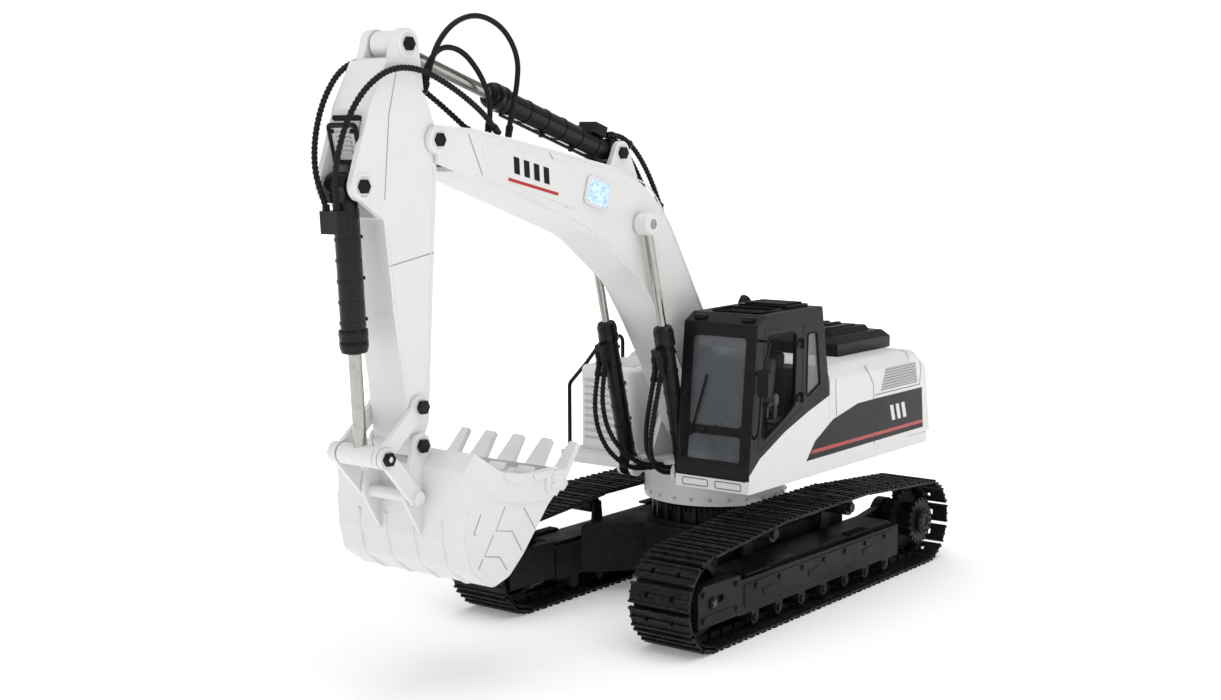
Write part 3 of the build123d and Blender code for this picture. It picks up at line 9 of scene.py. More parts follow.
import bpy
import numpy as np
from mathutils import Matrix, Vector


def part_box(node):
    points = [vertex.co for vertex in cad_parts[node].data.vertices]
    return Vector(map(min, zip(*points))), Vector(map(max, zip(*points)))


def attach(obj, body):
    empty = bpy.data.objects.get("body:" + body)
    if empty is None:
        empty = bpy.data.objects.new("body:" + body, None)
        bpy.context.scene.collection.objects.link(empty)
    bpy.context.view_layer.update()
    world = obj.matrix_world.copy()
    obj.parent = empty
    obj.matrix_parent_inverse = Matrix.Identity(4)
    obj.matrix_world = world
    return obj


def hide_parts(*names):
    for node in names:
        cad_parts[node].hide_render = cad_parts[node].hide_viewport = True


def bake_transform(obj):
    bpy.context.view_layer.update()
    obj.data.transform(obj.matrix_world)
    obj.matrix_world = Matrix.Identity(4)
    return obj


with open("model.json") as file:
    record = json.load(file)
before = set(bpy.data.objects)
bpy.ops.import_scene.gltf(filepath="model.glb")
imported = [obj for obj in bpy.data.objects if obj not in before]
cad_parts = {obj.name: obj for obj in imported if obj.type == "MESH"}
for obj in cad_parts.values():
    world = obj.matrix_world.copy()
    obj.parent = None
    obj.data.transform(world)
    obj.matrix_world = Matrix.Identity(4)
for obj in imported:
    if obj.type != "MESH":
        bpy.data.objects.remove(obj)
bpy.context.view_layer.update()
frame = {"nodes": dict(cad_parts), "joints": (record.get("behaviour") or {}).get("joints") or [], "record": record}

bl_info = {
    "name": "Toy Excavator Looks",
    "version": (1, 0, 0),
    "blender": (4, 5, 0),
    "location": "View3D > Sidebar > Excavator",
    "description": "Finishes, hoses and small parts of a toy excavator on its fixed frame",
    "category": "Object",
}

SLEW_X = next(j["pos_m"][0] for j in frame["joints"] if j["name"] == "slew") * 1000
HALF_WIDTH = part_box("house_covers")[1].y * 1000
BOOM_HALF = 18.0
STICK_HALF = 14.9
TRACK_Y = 78.8
BUCKET_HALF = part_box("bucket")[1].y * 1000


# ---- shapes --------------------------------------------------------------------------------------
def unit(vector):
    """The vector, or each row of vectors, at length 1."""
    vector = np.asarray(vector, float)
    return vector / np.linalg.norm(vector, axis=-1, keepdims=True)


class Shape:
    """Points in millimetres and the faces on them, gathered from several surfaces."""

    def __init__(self):
        self.points = []
        self.faces = []
        self.count = 0

    def add(self, surface):
        points, faces = surface
        self.points.append(np.asarray(points, float))
        self.faces += [[int(i) + self.count for i in face] for face in faces]
        self.count += len(points)
        return self

    def mirrored(self):
        """Adds the same surfaces on the other side of the centre plane, with their faces turned round."""
        points = np.concatenate(self.points) * (1, -1, 1)
        self.faces += [[i + self.count for i in reversed(face)] for face in self.faces]
        self.points.append(points)
        self.count += len(points)
        return self


def grid_faces(rows, columns):
    """Quads of a grid whose columns join up into a ring, with a cap on the first and last rows."""
    row = np.arange(rows - 1)[:, None] * columns
    here = np.arange(columns)[None, :]
    after = (here + 1) % columns
    quads = np.stack([row + here, row + after, row + columns + after, row + columns + here], -1)
    caps = [list(range(columns - 1, -1, -1)), list(range((rows - 1) * columns, rows * columns))]
    return quads.reshape(-1, 4).tolist() + caps


def turned(profile, centre, axis, sides=24, corners=0, ring=False):
    """A turned part. P(t, a) = centre + along(t) axis + radius(t) k(a) (u cos a + v sin a).

    A ring's profile is a closed loop, so that it has a bore.
    k is 1 for a round part. With corners it is cos(h) / cos(a mod 2h - h), h = pi / corners, a flat-sided nut.
    """
    axis = unit(axis)
    aside = unit(np.cross(axis, (0, 0, 1) if abs(axis[2]) < 0.9 else (1, 0, 0)))
    other = np.cross(axis, aside)
    angle = np.linspace(0, 2 * math.pi, sides, endpoint=False)
    reach = np.ones(sides)
    if corners:
        half = math.pi / corners
        reach = math.cos(half) / np.cos(np.mod(angle, 2 * half) - half)
    along, radius = np.array(profile, float).T
    around = (np.cos(angle)[:, None] * aside + np.sin(angle)[:, None] * other) * reach[:, None]
    points = np.asarray(centre) + along[:, None, None] * axis + radius[:, None, None] * around
    faces = grid_faces(len(along) + 1, sides)[:-2] if ring else grid_faces(len(along), sides)
    return points.reshape(-1, 3), (np.array(faces) % (len(along) * sides)).tolist() if ring else faces


def tube(path, radius, sides=12):
    """A tube along a path. P(s, a) = path(s) + r(s) (n cos a + b sin a), n nearest the left, b across both."""
    path = np.asarray(path, float)
    radius = np.broadcast_to(radius, len(path))
    along = unit(np.gradient(path, axis=0))
    left = np.array((0.0, 1.0, 0.0)) if np.abs(along[:, 1]).max() < 0.93 else np.array((1.0, 0.0, 0.2))
    normal = unit(left - (along @ left)[:, None] * along)
    across = np.cross(along, normal)
    angle = np.linspace(0, 2 * math.pi, sides, endpoint=False)[None, :, None]
    ring = np.cos(angle) * normal[:, None, :] + np.sin(angle) * across[:, None, :]
    points = path[:, None, :] + radius[:, None, None] * ring
    return points.reshape(-1, 3), grid_faces(len(path), sides)


def plate(outline, near, far, bevel=0.0):
    """A plate from near to the larger far, to the left: the outline is (ahead, up), its far rim drawn in by bevel.

    Each corner is drawn in along the mean of its two edges' inward normals.
    """
    outline = np.asarray(outline, float)
    ahead, up = outline.T
    if np.sum(ahead * np.roll(up, -1) - np.roll(ahead, -1) * up) < 0:
        outline = outline[::-1]
    edge = unit(np.roll(outline, -1, axis=0) - outline)
    inward = np.stack([-edge[:, 1], edge[:, 0]], -1)
    corner = unit(inward + np.roll(inward, 1, axis=0))
    shrink = corner / np.maximum(np.sum(corner * inward, -1, keepdims=True), 0.4)
    rings = [(outline, near), (outline, far - bevel), (outline + shrink * bevel, far)]
    if bevel == 0:
        del rings[1]
    points = [np.stack([ring[:, 0], np.full(len(ring), y), ring[:, 1]], -1) for ring, y in rings]
    return np.concatenate(points), grid_faces(len(rings), len(outline))


def line_outline(points, width):
    """The outline of a strip of a width along a broken line: each point moved both ways along its normal."""
    points = np.asarray(points, float)
    along = unit(np.gradient(points, axis=0))
    normal = np.stack([-along[:, 1], along[:, 0]], -1) * width / 2
    return np.concatenate([points + normal, (points - normal)[::-1]])


def rounded(outline, radius, steps=5):
    """The outline with each corner c made an arc: c + r (n1 + n2) / (1 + n1.n2) - r n, n turning from n1 to n2."""
    outline = np.asarray(outline, float)
    before = unit(outline - np.roll(outline, 1, axis=0))
    after = unit(np.roll(outline, -1, axis=0) - outline)
    turn = before[:, 0] * after[:, 1] - before[:, 1] * after[:, 0]
    way = np.sign(turn)[:, None]
    first = np.stack([-before[:, 1], before[:, 0]], -1) * way
    last = np.stack([-after[:, 1], after[:, 0]], -1) * way
    centre = outline + radius * (first + last) / (1 + np.sum(first * last, -1, keepdims=True))
    share = np.linspace(0, 1, steps)[None, :, None]
    normal = unit(first[:, None] * (1 - share) + last[:, None] * share)
    return (centre[:, None] - radius * normal).reshape(-1, 2)


def turn_matrix(angle):
    """Turns rows of (ahead, up) by an angle, from ahead towards up."""
    c, s = math.cos(angle), math.sin(angle)
    return np.array([[c, s], [-s, c]])


def box_outline(low, high):
    """The four corners of a rectangle."""
    return [(low[0], low[1]), (high[0], low[1]), (high[0], high[1]), (low[0], high[1])]


def block(centre, size, radius, turn=0.0, steps=4):
    """A rounded block. P(a, b) = centre + sign(d) (half - r) + r d, where d(a, b) runs over the unit sphere.

    It is turned about the left axis by an angle in degrees.
    """
    quarter = np.linspace(0, math.pi / 2, steps)
    angle = np.concatenate([quarter + k * math.pi / 2 for k in range(4)])
    sign_a = np.repeat([1, -1, -1, 1], steps)
    sign_b = np.repeat([1, 1, -1, -1], steps)
    rise = np.concatenate([quarter - math.pi / 2, quarter])
    sign_c = np.repeat([-1, 1], steps)
    flat = np.cos(rise)[:, None]
    direction = np.stack([flat * np.cos(angle), flat * np.sin(angle), np.sin(rise)[:, None] + 0 * angle], -1)
    signs = np.stack(np.broadcast_arrays(sign_a[None, :], sign_b[None, :], sign_c[:, None]), -1)
    points = signs * (np.asarray(size) / 2 - radius) + radius * direction
    c, s = math.cos(math.radians(turn)), math.sin(math.radians(turn))
    points = points @ np.array([[c, 0, s], [0, 1, 0], [-s, 0, c]])
    return points.reshape(-1, 3) + centre, grid_faces(2 * steps, 4 * steps)


def frame_tube(outline, level, across, radius, sides, overlap=3):
    """A tube along a closed outline that lies at a level of one axis, its ends run on past each other."""
    loop = np.concatenate([outline, outline[:overlap]])
    return tube(np.insert(loop, across, level, axis=1), radius, sides)


def piece(name, shape, finish_name, body, smooth=False):
    """Makes the shape a mesh in the row frame, finished and riding on a body."""
    mesh = bpy.data.meshes.new(name)
    points = (np.concatenate(shape.points) + (SLEW_X, 0, 0)) / 1000
    mesh.from_pydata(points.tolist(), [], shape.faces)
    mesh.update()
    mesh.materials.append(finish(finish_name))
    if smooth:
        mesh.shade_smooth()
        mesh.set_sharp_from_angle(angle=math.radians(35))
    made = bpy.data.objects.new(name, mesh)
    bpy.context.scene.collection.objects.link(made)
    if body:
        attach(made, body)
    return made


# ---- finishes ------------------------------------------------------------------------------------
def new_group(name, inputs, outputs):
    """An empty shader node group with its sockets, each (name, kind, default)."""
    group = bpy.data.node_groups.new(name, "ShaderNodeTree")
    for label, kind, value in inputs:
        group.interface.new_socket(label, in_out="INPUT", socket_type=kind).default_value = value
    for label, kind in outputs:
        group.interface.new_socket(label, in_out="OUTPUT", socket_type=kind)
    return group, group.nodes.new("NodeGroupInput"), group.nodes.new("NodeGroupOutput")


def preset(node, values):
    """Sets a node's inputs by name."""
    for name, value in values.items():
        node.inputs[name].default_value = value
    return node


def add_node(nodes, kind, values=None):
    """A new shader node of a kind, with its inputs set by name."""
    return preset(nodes.new(f"ShaderNode{kind}"), values or {})


def add_group(nodes, tree, values):
    """A new node that holds a node group, with its inputs set by name."""
    node = nodes.new("ShaderNodeGroup")
    node.node_tree = tree
    return preset(node, values)


def new_material(name):
    """An empty material with its nodes, links and shader."""
    material = bpy.data.materials.new(name)
    material.use_nodes = True
    nodes = material.node_tree.nodes
    return material, nodes, material.node_tree.links, nodes["Principled BSDF"]


def grain_group():
    """Fine grain and broad unevenness on Object coordinates: a height, and a roughness between two limits."""
    if "grain" in bpy.data.node_groups:
        return bpy.data.node_groups["grain"]
    inputs = [("Scale", "NodeSocketFloat", 900.0), ("Low", "NodeSocketFloat", 0.3), ("High", "NodeSocketFloat", 0.4)]
    outputs = [("Height", "NodeSocketFloat"), ("Roughness", "NodeSocketFloat")]
    group, given, out = new_group("grain", inputs, outputs)
    nodes, links = group.nodes, group.links
    place = add_node(nodes, "TexCoord")
    fine = add_node(nodes, "TexNoise", {"Detail": 3.0})
    broad = add_node(nodes, "TexNoise", {"Scale": 38.0})
    spread = add_node(nodes, "MapRange", {"From Min": 0.3, "From Max": 0.7})
    links.new(place.outputs["Object"], fine.inputs["Vector"])
    links.new(given.outputs["Scale"], fine.inputs["Scale"])
    links.new(place.outputs["Object"], broad.inputs["Vector"])
    links.new(broad.outputs["Fac"], spread.inputs["Value"])
    links.new(given.outputs["Low"], spread.inputs["To Min"])
    links.new(given.outputs["High"], spread.inputs["To Max"])
    links.new(fine.outputs["Fac"], out.inputs["Height"])
    links.new(spread.outputs["Result"], out.inputs["Roughness"])
    return group


def scuff_group():
    """Sparse scuffs and dust: mixes a base colour towards a worn one where a noise is high, by the amount."""
    if "scuffs" in bpy.data.node_groups:
        return bpy.data.node_groups["scuffs"]
    inputs = [
        ("Base", "NodeSocketColor", (0.5, 0.5, 0.5, 1)),
        ("Worn", "NodeSocketColor", (0.6, 0.6, 0.6, 1)),
        ("Amount", "NodeSocketFloat", 0.3),
        ("Scale", "NodeSocketFloat", 120.0),
    ]
    group, given, out = new_group("scuffs", inputs, [("Color", "NodeSocketColor")])
    nodes, links = group.nodes, group.links
    place = add_node(nodes, "TexCoord")
    spots = add_node(nodes, "TexNoise", {"Detail": 5.0, "Roughness": 0.65})
    where = add_node(nodes, "MapRange", {"From Min": 0.48, "From Max": 0.74})
    share = add_node(nodes, "Math")
    share.operation = "MULTIPLY"
    mix = add_node(nodes, "Mix")
    mix.data_type = "RGBA"
    links.new(place.outputs["Object"], spots.inputs["Vector"])
    links.new(given.outputs["Scale"], spots.inputs["Scale"])
    links.new(spots.outputs["Fac"], where.inputs["Value"])
    links.new(where.outputs["Result"], share.inputs[0])
    links.new(given.outputs["Amount"], share.inputs[1])
    links.new(share.outputs["Value"], mix.inputs["Factor"])
    links.new(given.outputs["Base"], mix.inputs[6])
    links.new(given.outputs["Worn"], mix.inputs[7])
    links.new(mix.outputs[2], out.inputs["Color"])
    return group


# name: worn colour, scuff amount, scuff scale, grain scale, grain height, roughness low and high, metallic, coat
SURFACES = {
    "white_paint": ((0.60, 0.59, 0.57), 0.16, 45, 1500, 0.05, 0.34, 0.46, 0.0, 0.10),
    "black_metal": ((0.030, 0.030, 0.032), 0.5, 150, 1100, 0.22, 0.34, 0.52, 0.0, 0.0),
    "track_shoe": ((0.055, 0.055, 0.057), 0.6, 260, 900, 0.20, 0.36, 0.55, 0.2, 0.0),
    "wheel_metal": ((0.045, 0.045, 0.047), 0.5, 220, 1000, 0.15, 0.32, 0.48, 0.2, 0.0),
    "black_plastic": ((0.018, 0.018, 0.019), 0.35, 90, 1900, 0.10, 0.26, 0.38, 0.0, 0.0),
    "seat_plastic": ((0.18, 0.18, 0.19), 0.3, 120, 1300, 0.3, 0.5, 0.65, 0.0, 0.0),
    "bolt_black": ((0.030, 0.030, 0.031), 0.5, 240, 1600, 0.06, 0.26, 0.40, 0.2, 0.0),
    "hose_rubber": ((0.020, 0.020, 0.020), 0.4, 200, 1700, 0.12, 0.42, 0.56, 0.0, 0.0),
    "grey_plastic": ((0.40, 0.40, 0.40), 0.3, 110, 1400, 0.08, 0.36, 0.46, 0.0, 0.0),
    "cylinder_black": ((0.018, 0.018, 0.019), 0.3, 120, 1300, 0.05, 0.18, 0.30, 0.0, 0.1),
    "rod_steel": ((0.20, 0.19, 0.18), 0.45, 150, 2600, 0.10, 0.20, 0.32, 1.0, 0.0),
    "decal_black": ((0.014, 0.014, 0.015), 0.3, 60, 1400, 0.03, 0.26, 0.34, 0.0, 0.0),
    "decal_red": ((0.42, 0.03, 0.025), 0.3, 60, 1400, 0.03, 0.28, 0.36, 0.0, 0.0),
    "seam_grey": ((0.10, 0.10, 0.10), 0.4, 200, 1200, 0.10, 0.55, 0.70, 0.0, 0.0),
    "seam_light": ((0.30, 0.30, 0.30), 0.3, 200, 1200, 0.10, 0.55, 0.70, 0.0, 0.0),
    "white_shade": ((0.52, 0.51, 0.50), 0.3, 90, 1500, 0.05, 0.40, 0.52, 0.0, 0.0),
}


def finish(name):
    """The material of that name, built once."""
    if f"looks_{name}" in bpy.data.materials:
        return bpy.data.materials[f"looks_{name}"]
    if name == "tinted_glass":
        return glass_finish()
    if name == "lamp":
        return lamp_finish()
    worn, amount, spots, scale, height, low, high, metallic, coat = SURFACES[name]
    colour = tuple(getattr(bpy.context.scene.excavator_colours, name))
    material, nodes, links, shader = new_material(f"looks_{name}")
    preset(shader, {
        "Metallic": metallic, "Specular IOR Level": 0.14 if max(colour) < 0.05 else 0.5,
        "Coat Weight": coat, "Coat Roughness": 0.22,
    })
    grain = add_group(nodes, grain_group(), {"Scale": scale, "Low": low, "High": high})
    scuffs = add_group(
        nodes, scuff_group(), {"Base": (*colour, 1), "Worn": (*worn, 1), "Amount": amount, "Scale": spots}
    )
    bump = add_node(nodes, "Bump", {"Strength": height, "Distance": 0.0004})
    links.new(grain.outputs["Height"], bump.inputs["Height"])
    links.new(bump.outputs["Normal"], shader.inputs["Normal"])
    links.new(grain.outputs["Roughness"], shader.inputs["Roughness"])
    links.new(scuffs.outputs["Color"], shader.inputs["Base Color"])
    return material


def glass_finish():
    """Thin grey-tinted plastic with faint smears in its gloss."""
    material, nodes, links, shader = new_material("looks_tinted_glass")
    preset(shader, {
        "Base Color": (0.10, 0.11, 0.12, 1), "Alpha": bpy.context.scene.excavator_colours.glass_density,
        "Coat Weight": 0.6, "Coat Roughness": 0.04,
    })
    grain = add_group(nodes, grain_group(), {"Scale": 60, "Low": 0.05, "High": 0.16})
    links.new(grain.outputs["Roughness"], shader.inputs["Roughness"])
    return material


def lamp_finish():
    """A lit work lamp: a cool white glow, broken up by the lens's small prisms."""
    material, nodes, links, shader = new_material("looks_lamp")
    preset(shader, {"Roughness": 0.2, "Emission Strength": bpy.context.scene.excavator_sizes.lamp_glow})
    place = add_node(nodes, "TexCoord")
    prisms = add_node(nodes, "TexVoronoi", {"Scale": 420.0})
    ramp = add_node(nodes, "ValToRGB")
    ramp.color_ramp.elements[0].color = (0.62, 0.76, 1.0, 1)
    ramp.color_ramp.elements[1].color = (0.22, 0.36, 0.85, 1)
    links.new(place.outputs["Object"], prisms.inputs["Vector"])
    links.new(prisms.outputs["Distance"], ramp.inputs["Fac"])
    links.new(ramp.outputs["Color"], shader.inputs["Base Color"])
    links.new(ramp.outputs["Color"], shader.inputs["Emission Color"])
    return material


# ---- sizes and colours a user may change ---------------------------------------------------------
def colour_property(label, value):
    """A colour that a user may change."""
    return bpy.props.FloatVectorProperty(
        name=label, description=f"Colour of the {label.lower()}", subtype="COLOR", size=3, min=0, max=1, default=value
    )


class ExcavatorColours(bpy.types.PropertyGroup):
    """Base colours of the finishes."""

    white_paint: colour_property("White paint", (0.74, 0.74, 0.73))
    white_shade: colour_property("Shaded white", (0.50, 0.50, 0.49))
    black_metal: colour_property("Black metal", (0.010, 0.010, 0.011))
    track_shoe: colour_property("Track shoes", (0.013, 0.013, 0.014))
    wheel_metal: colour_property("Wheels", (0.014, 0.014, 0.015))
    black_plastic: colour_property("Black plastic", (0.008, 0.008, 0.009))
    seat_plastic: colour_property("Seat", (0.10, 0.10, 0.105))
    bolt_black: colour_property("Bolts", (0.008, 0.008, 0.009))
    hose_rubber: colour_property("Hoses", (0.008, 0.008, 0.008))
    grey_plastic: colour_property("Grey plastic", (0.50, 0.50, 0.50))
    cylinder_black: colour_property("Cylinders", (0.007, 0.007, 0.008))
    rod_steel: colour_property("Rods", (0.36, 0.35, 0.33))
    decal_black: colour_property("Black marking", (0.006, 0.006, 0.007))
    decal_red: colour_property("Red marking", (0.42, 0.012, 0.010))
    # seams, and also the painted shadow under each louvre slat
    seam_grey: colour_property("Seams", (0.16, 0.16, 0.16))
    # light seams on the boom and stick, and also the painted shade in the bucket's engraved chevrons
    seam_light: colour_property("Light seams", (0.34, 0.34, 0.34))
    glass_density: bpy.props.FloatProperty(
        name="Glass density", description="How much of the view the glass hides", min=0, max=1, default=0.52,
        subtype="FACTOR",
    )


class ExcavatorSizes(bpy.types.PropertyGroup):
    """Sizes of the added detail."""

    hose_radius: bpy.props.FloatProperty(
        name="Hose radius", description="Mean radius of every hose, in millimetres", default=1.7, min=0.5, max=4
    )
    rib_pitch: bpy.props.FloatProperty(
        name="Rib pitch", description="From one rib of a hose to the next, in millimetres", default=2.9, min=1, max=8
    )
    marking_lift: bpy.props.FloatProperty(
        name="Marking lift", description="How far a marking stands off its panel, in millimetres", default=0.14,
        min=0.02, max=1,
    )
    lamp_glow: bpy.props.FloatProperty(
        name="Lamp glow", description="Brightness of the work lamps", default=0.55, min=0, max=20
    )
    floor_size: bpy.props.FloatProperty(
        name="Floor size", description="Half the width of the floor", default=6.0, min=1, max=20, unit="LENGTH"
    )


class Step(bpy.types.Operator):
    """Shared settings of the steps below."""

    bl_options = {"REGISTER", "UNDO"}


# ---- stage ---------------------------------------------------------------------------------------
class EXCAVATOR_OT_stage(Step):
    """White floor that glows more with distance, soft studio light and the camera."""

    bl_idname = "excavator.stage"
    bl_label = "Stage"

    camera_place = (1044.7, 707.2, 333.9)
    azimuth = 37.656
    elevation = 7.081
    roll = -0.215
    lens = 50.15

    def execute(self, context):
        self.floor(context)
        self.lights(context)
        self.camera(context)
        return {"FINISHED"}

    def floor(self, context):
        half = context.scene.excavator_sizes.floor_size
        mesh = bpy.data.meshes.new("floor")
        mesh.from_pydata([(-half, -half, 0), (half, -half, 0), (half, half, 0), (-half, half, 0)], [], [(0, 1, 2, 3)])
        material, nodes, links, shader = new_material("floor_white")
        preset(shader, {
            "Base Color": (0.94, 0.94, 0.94, 1), "Roughness": 0.9, "Specular IOR Level": 0.1, "Emission Strength": 1.0,
        })
        place = add_node(nodes, "TexCoord")
        reach = add_node(nodes, "VectorMath")
        reach.operation = "LENGTH"
        fade = add_node(nodes, "MapRange", {"From Min": 0.25, "To Min": 0.20, "From Max": 1.20})
        links.new(place.outputs["Object"], reach.inputs[0])
        links.new(reach.outputs["Value"], fade.inputs["Value"])
        links.new(fade.outputs["Result"], shader.inputs["Emission Color"])
        mesh.materials.append(material)
        floor = bpy.data.objects.new("floor", mesh)
        context.scene.collection.objects.link(floor)

    def lights(self, context):
        world = bpy.data.worlds.new("studio")
        context.scene.world = world
        world.use_nodes = True
        nodes, links = world.node_tree.nodes, world.node_tree.links
        soft = preset(nodes["Background"], {"Color": (1, 1, 1, 1), "Strength": 0.42})
        seen = add_node(nodes, "Background", {"Color": (1, 1, 1, 1), "Strength": 1.05})
        ray = add_node(nodes, "LightPath")
        mix = add_node(nodes, "MixShader")
        links.new(ray.outputs["Is Camera Ray"], mix.inputs["Fac"])
        links.new(soft.outputs["Background"], mix.inputs[1])
        links.new(seen.outputs["Background"], mix.inputs[2])
        links.new(mix.outputs["Shader"], nodes["World Output"].inputs["Surface"])
        lamps = [
            ("top light", (0.2, 0.2, 2.3), (0, 0, 0), 3.0, 40.0),
            ("front light", (1.9, -0.9, 1.1), (0.1, 0, 0.2), 1.3, 4.0),
            ("side light", (0.3, 2.2, 0.9), (0, 0, 0.2), 1.4, 5.5),
        ]
        for name, place, aim, size, power in lamps:
            data = bpy.data.lights.new(name, "AREA")
            data.size = size
            data.energy = power
            lamp = bpy.data.objects.new(name, data)
            back = unit(np.subtract(place, aim))
            right = unit(np.cross((0.01, 1, 0.02), back))
            up = np.cross(back, right)
            rows = np.eye(4)
            rows[:3, :3] = np.stack([right, up, back], 1)
            rows[:3, 3] = place
            lamp.matrix_world = Matrix(rows)
            context.scene.collection.objects.link(lamp)

    def camera(self, context):
        """The camera looks along -back, its right and up turned about back by the roll."""
        azimuth, elevation, roll = map(math.radians, (self.azimuth, self.elevation, self.roll))
        flat = math.cos(elevation)
        back = np.array((math.cos(azimuth) * flat, math.sin(azimuth) * flat, math.sin(elevation)))
        right = unit(np.cross((0, 0, 1), back))
        up = np.cross(back, right)
        c, s = math.cos(roll), math.sin(roll)
        rows = np.eye(4)
        rows[:3, :3] = np.stack([c * right + s * up, c * up - s * right, back], 1)
        rows[:3, 3] = (np.array(self.camera_place) + (SLEW_X, 0, 0)) / 1000
        data = bpy.data.cameras.new("camera")
        data.lens = self.lens
        data.sensor_width = 36
        camera = bpy.data.objects.new("camera", data)
        camera.matrix_world = Matrix(rows)
        context.scene.collection.objects.link(camera)
        context.scene.camera = camera
        context.scene.view_settings.view_transform = "Standard"


# ---- finishes of the frame's own parts -----------------------------------------------------------
class EXCAVATOR_OT_frame_finishes(Step):
    """Gives every part of the frame the finish of its slot."""

    bl_idname = "excavator.frame_finishes"
    bl_label = "Frame finishes"

    def execute(self, context):
        for entry in frame["record"]["subparts"]:
            node = frame["nodes"][entry["node"]]
            material = finish(entry["material_slot"])
            if node.material_slots:
                for held in node.material_slots:
                    held.material = material
            else:
                node.data.materials.append(material)
        return {"FINISHED"}


# ---- hoses ---------------------------------------------------------------------------------------
BUCKET_HOSE_LEFT = [
    (256.4, 13.0, 337.5), (268.0, 15.5, 345.8), (286.0, 18.5, 355.5), (308.0, 19.6, 366.0),
    (332.0, 19.8, 374.5), (355.0, 19.4, 374.0), (374.0, 18.0, 362.0), (385.0, 15.5, 345.0),
    (389.0, 11.5, 326.0), (387.5, 7.0, 309.5), (383.8, 4.4, 296.0),
]
BUCKET_HOSE_RIGHT = [
    (250.4, -13.0, 336.4), (264.0, -15.5, 347.0), (284.0, -18.5, 361.0), (308.0, -19.8, 374.0),
    (333.0, -20.0, 381.0), (354.0, -19.4, 376.0), (369.0, -18.4, 360.0), (379.0, -16.4, 340.0),
    (384.5, -12.5, 321.0), (385.5, -8.0, 307.5), (383.4, -4.4, 296.0),
]
LOOP_OUTER = [
    (321.5, 13.0, 360.6), (317.0, 13.2, 374.0), (309.0, 13.2, 391.0), (293.0, 13.2, 404.0),
    (272.0, 13.2, 408.5), (250.0, 13.2, 401.0), (237.0, 13.2, 384.0), (239.0, 13.2, 365.0),
    (244.5, 13.2, 350.0), (247.5, 13.2, 335.4),
]
LOOP_INNER = [
    (321.8, 8.6, 362.2), (315.0, 9.4, 377.0), (303.0, 9.6, 388.5), (285.0, 9.6, 387.0),
    (270.0, 9.6, 375.0), (261.0, 9.6, 361.0), (259.5, 9.6, 348.0), (261.0, 8.6, 337.2),
]
BACK_HOSE = [
    (137.6, 336.4), (125.0, 336.6), (112.0, 331.0), (99.0, 320.0), (87.0, 305.0),
    (76.5, 287.0), (66.0, 267.0), (55.4, 247.5), (46.9, 228.6), (39.4, 214.4),
]
CYLINDER_HOSE_INNER = [
    (106.5, 21.8, 174.0), (110.0, 21.4, 160.0), (112.0, 19.6, 145.0), (110.0, 16.4, 130.0),
    (103.0, 12.2, 117.0), (91.0, 8.8, 107.0), (76.0, 7.4, 100.5), (58.8, 7.0, 98.5),
]
CYLINDER_HOSE_OUTER = [
    (106.5, 27.2, 174.0), (110.6, 27.0, 159.0), (113.6, 25.6, 143.0), (112.6, 22.4, 127.0),
    (106.0, 18.0, 113.0), (93.0, 14.4, 102.6), (77.0, 13.2, 97.4), (58.8, 13.0, 97.0),
]


def smooth_line(points):
    """The line of a NURBS spline with these control points, in millimetres, read back from the spline."""
    data = bpy.data.curves.new("route", "CURVE")
    data.dimensions = "3D"
    data.resolution_u = 24
    spline = data.splines.new("NURBS")
    spline.points.add(len(points) - 1)
    for held, point in zip(spline.points, points):
        held.co = (*point, 1)
    spline.order_u = 3
    spline.use_endpoint_u = True
    route = bpy.data.objects.new("route", data)
    mesh = bpy.data.meshes.new_from_object(route)
    line = np.empty(len(mesh.vertices) * 3)
    mesh.vertices.foreach_get("co", line)
    bpy.data.objects.remove(route)
    bpy.data.curves.remove(data)
    bpy.data.meshes.remove(mesh)
    return line.reshape(-1, 3)


def even(line, spacing):
    """The line's points at an even spacing along it, with the travel to each."""
    step = np.linalg.norm(np.diff(line, axis=0), axis=1)
    travel = np.concatenate([[0], np.cumsum(step)])
    places = np.linspace(0, travel[-1], int(travel[-1] / spacing) + 1)
    return np.stack([np.interp(places, travel, line[:, k]) for k in range(3)], -1), places


def make_hose(name, points, bodies, start, end, ribbed, stands_for):
    """A hose along its route: a tube whose radius swells once a rib, r (1 + 0.13 cos(2 pi s / pitch))."""
    sizes = bpy.context.scene.excavator_sizes
    path, travel = even(smooth_line(points), 0.45 if ribbed else 1.5)
    wave = 0.13 * np.cos(2 * math.pi * travel / sizes.rib_pitch) if ribbed else 0.0
    radius = sizes.hose_radius * (1 + wave) + 0 * travel
    made = piece(name, Shape().add(tube(path, radius, 12)), "hose_rubber", None, smooth=True)
    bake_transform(made)
    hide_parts(stands_for)
    return path


def ferrule(shape, path, first=True):
    """A crimped sleeve and a hex nut on one end of a hose, along its first or last stretch."""
    point, behind = (path[0], path[8]) if first else (path[-1], path[-9])
    profile = [(-0.2, 2.0), (0.1, 2.3), (2.6, 2.3), (2.7, 2.1), (3.4, 2.1), (3.5, 2.35), (6.6, 2.35), (7.0, 1.9)]
    shape.add(turned(profile[:3], point, behind - point, 24, corners=6))
    shape.add(turned(profile[2:], point, behind - point, 16))


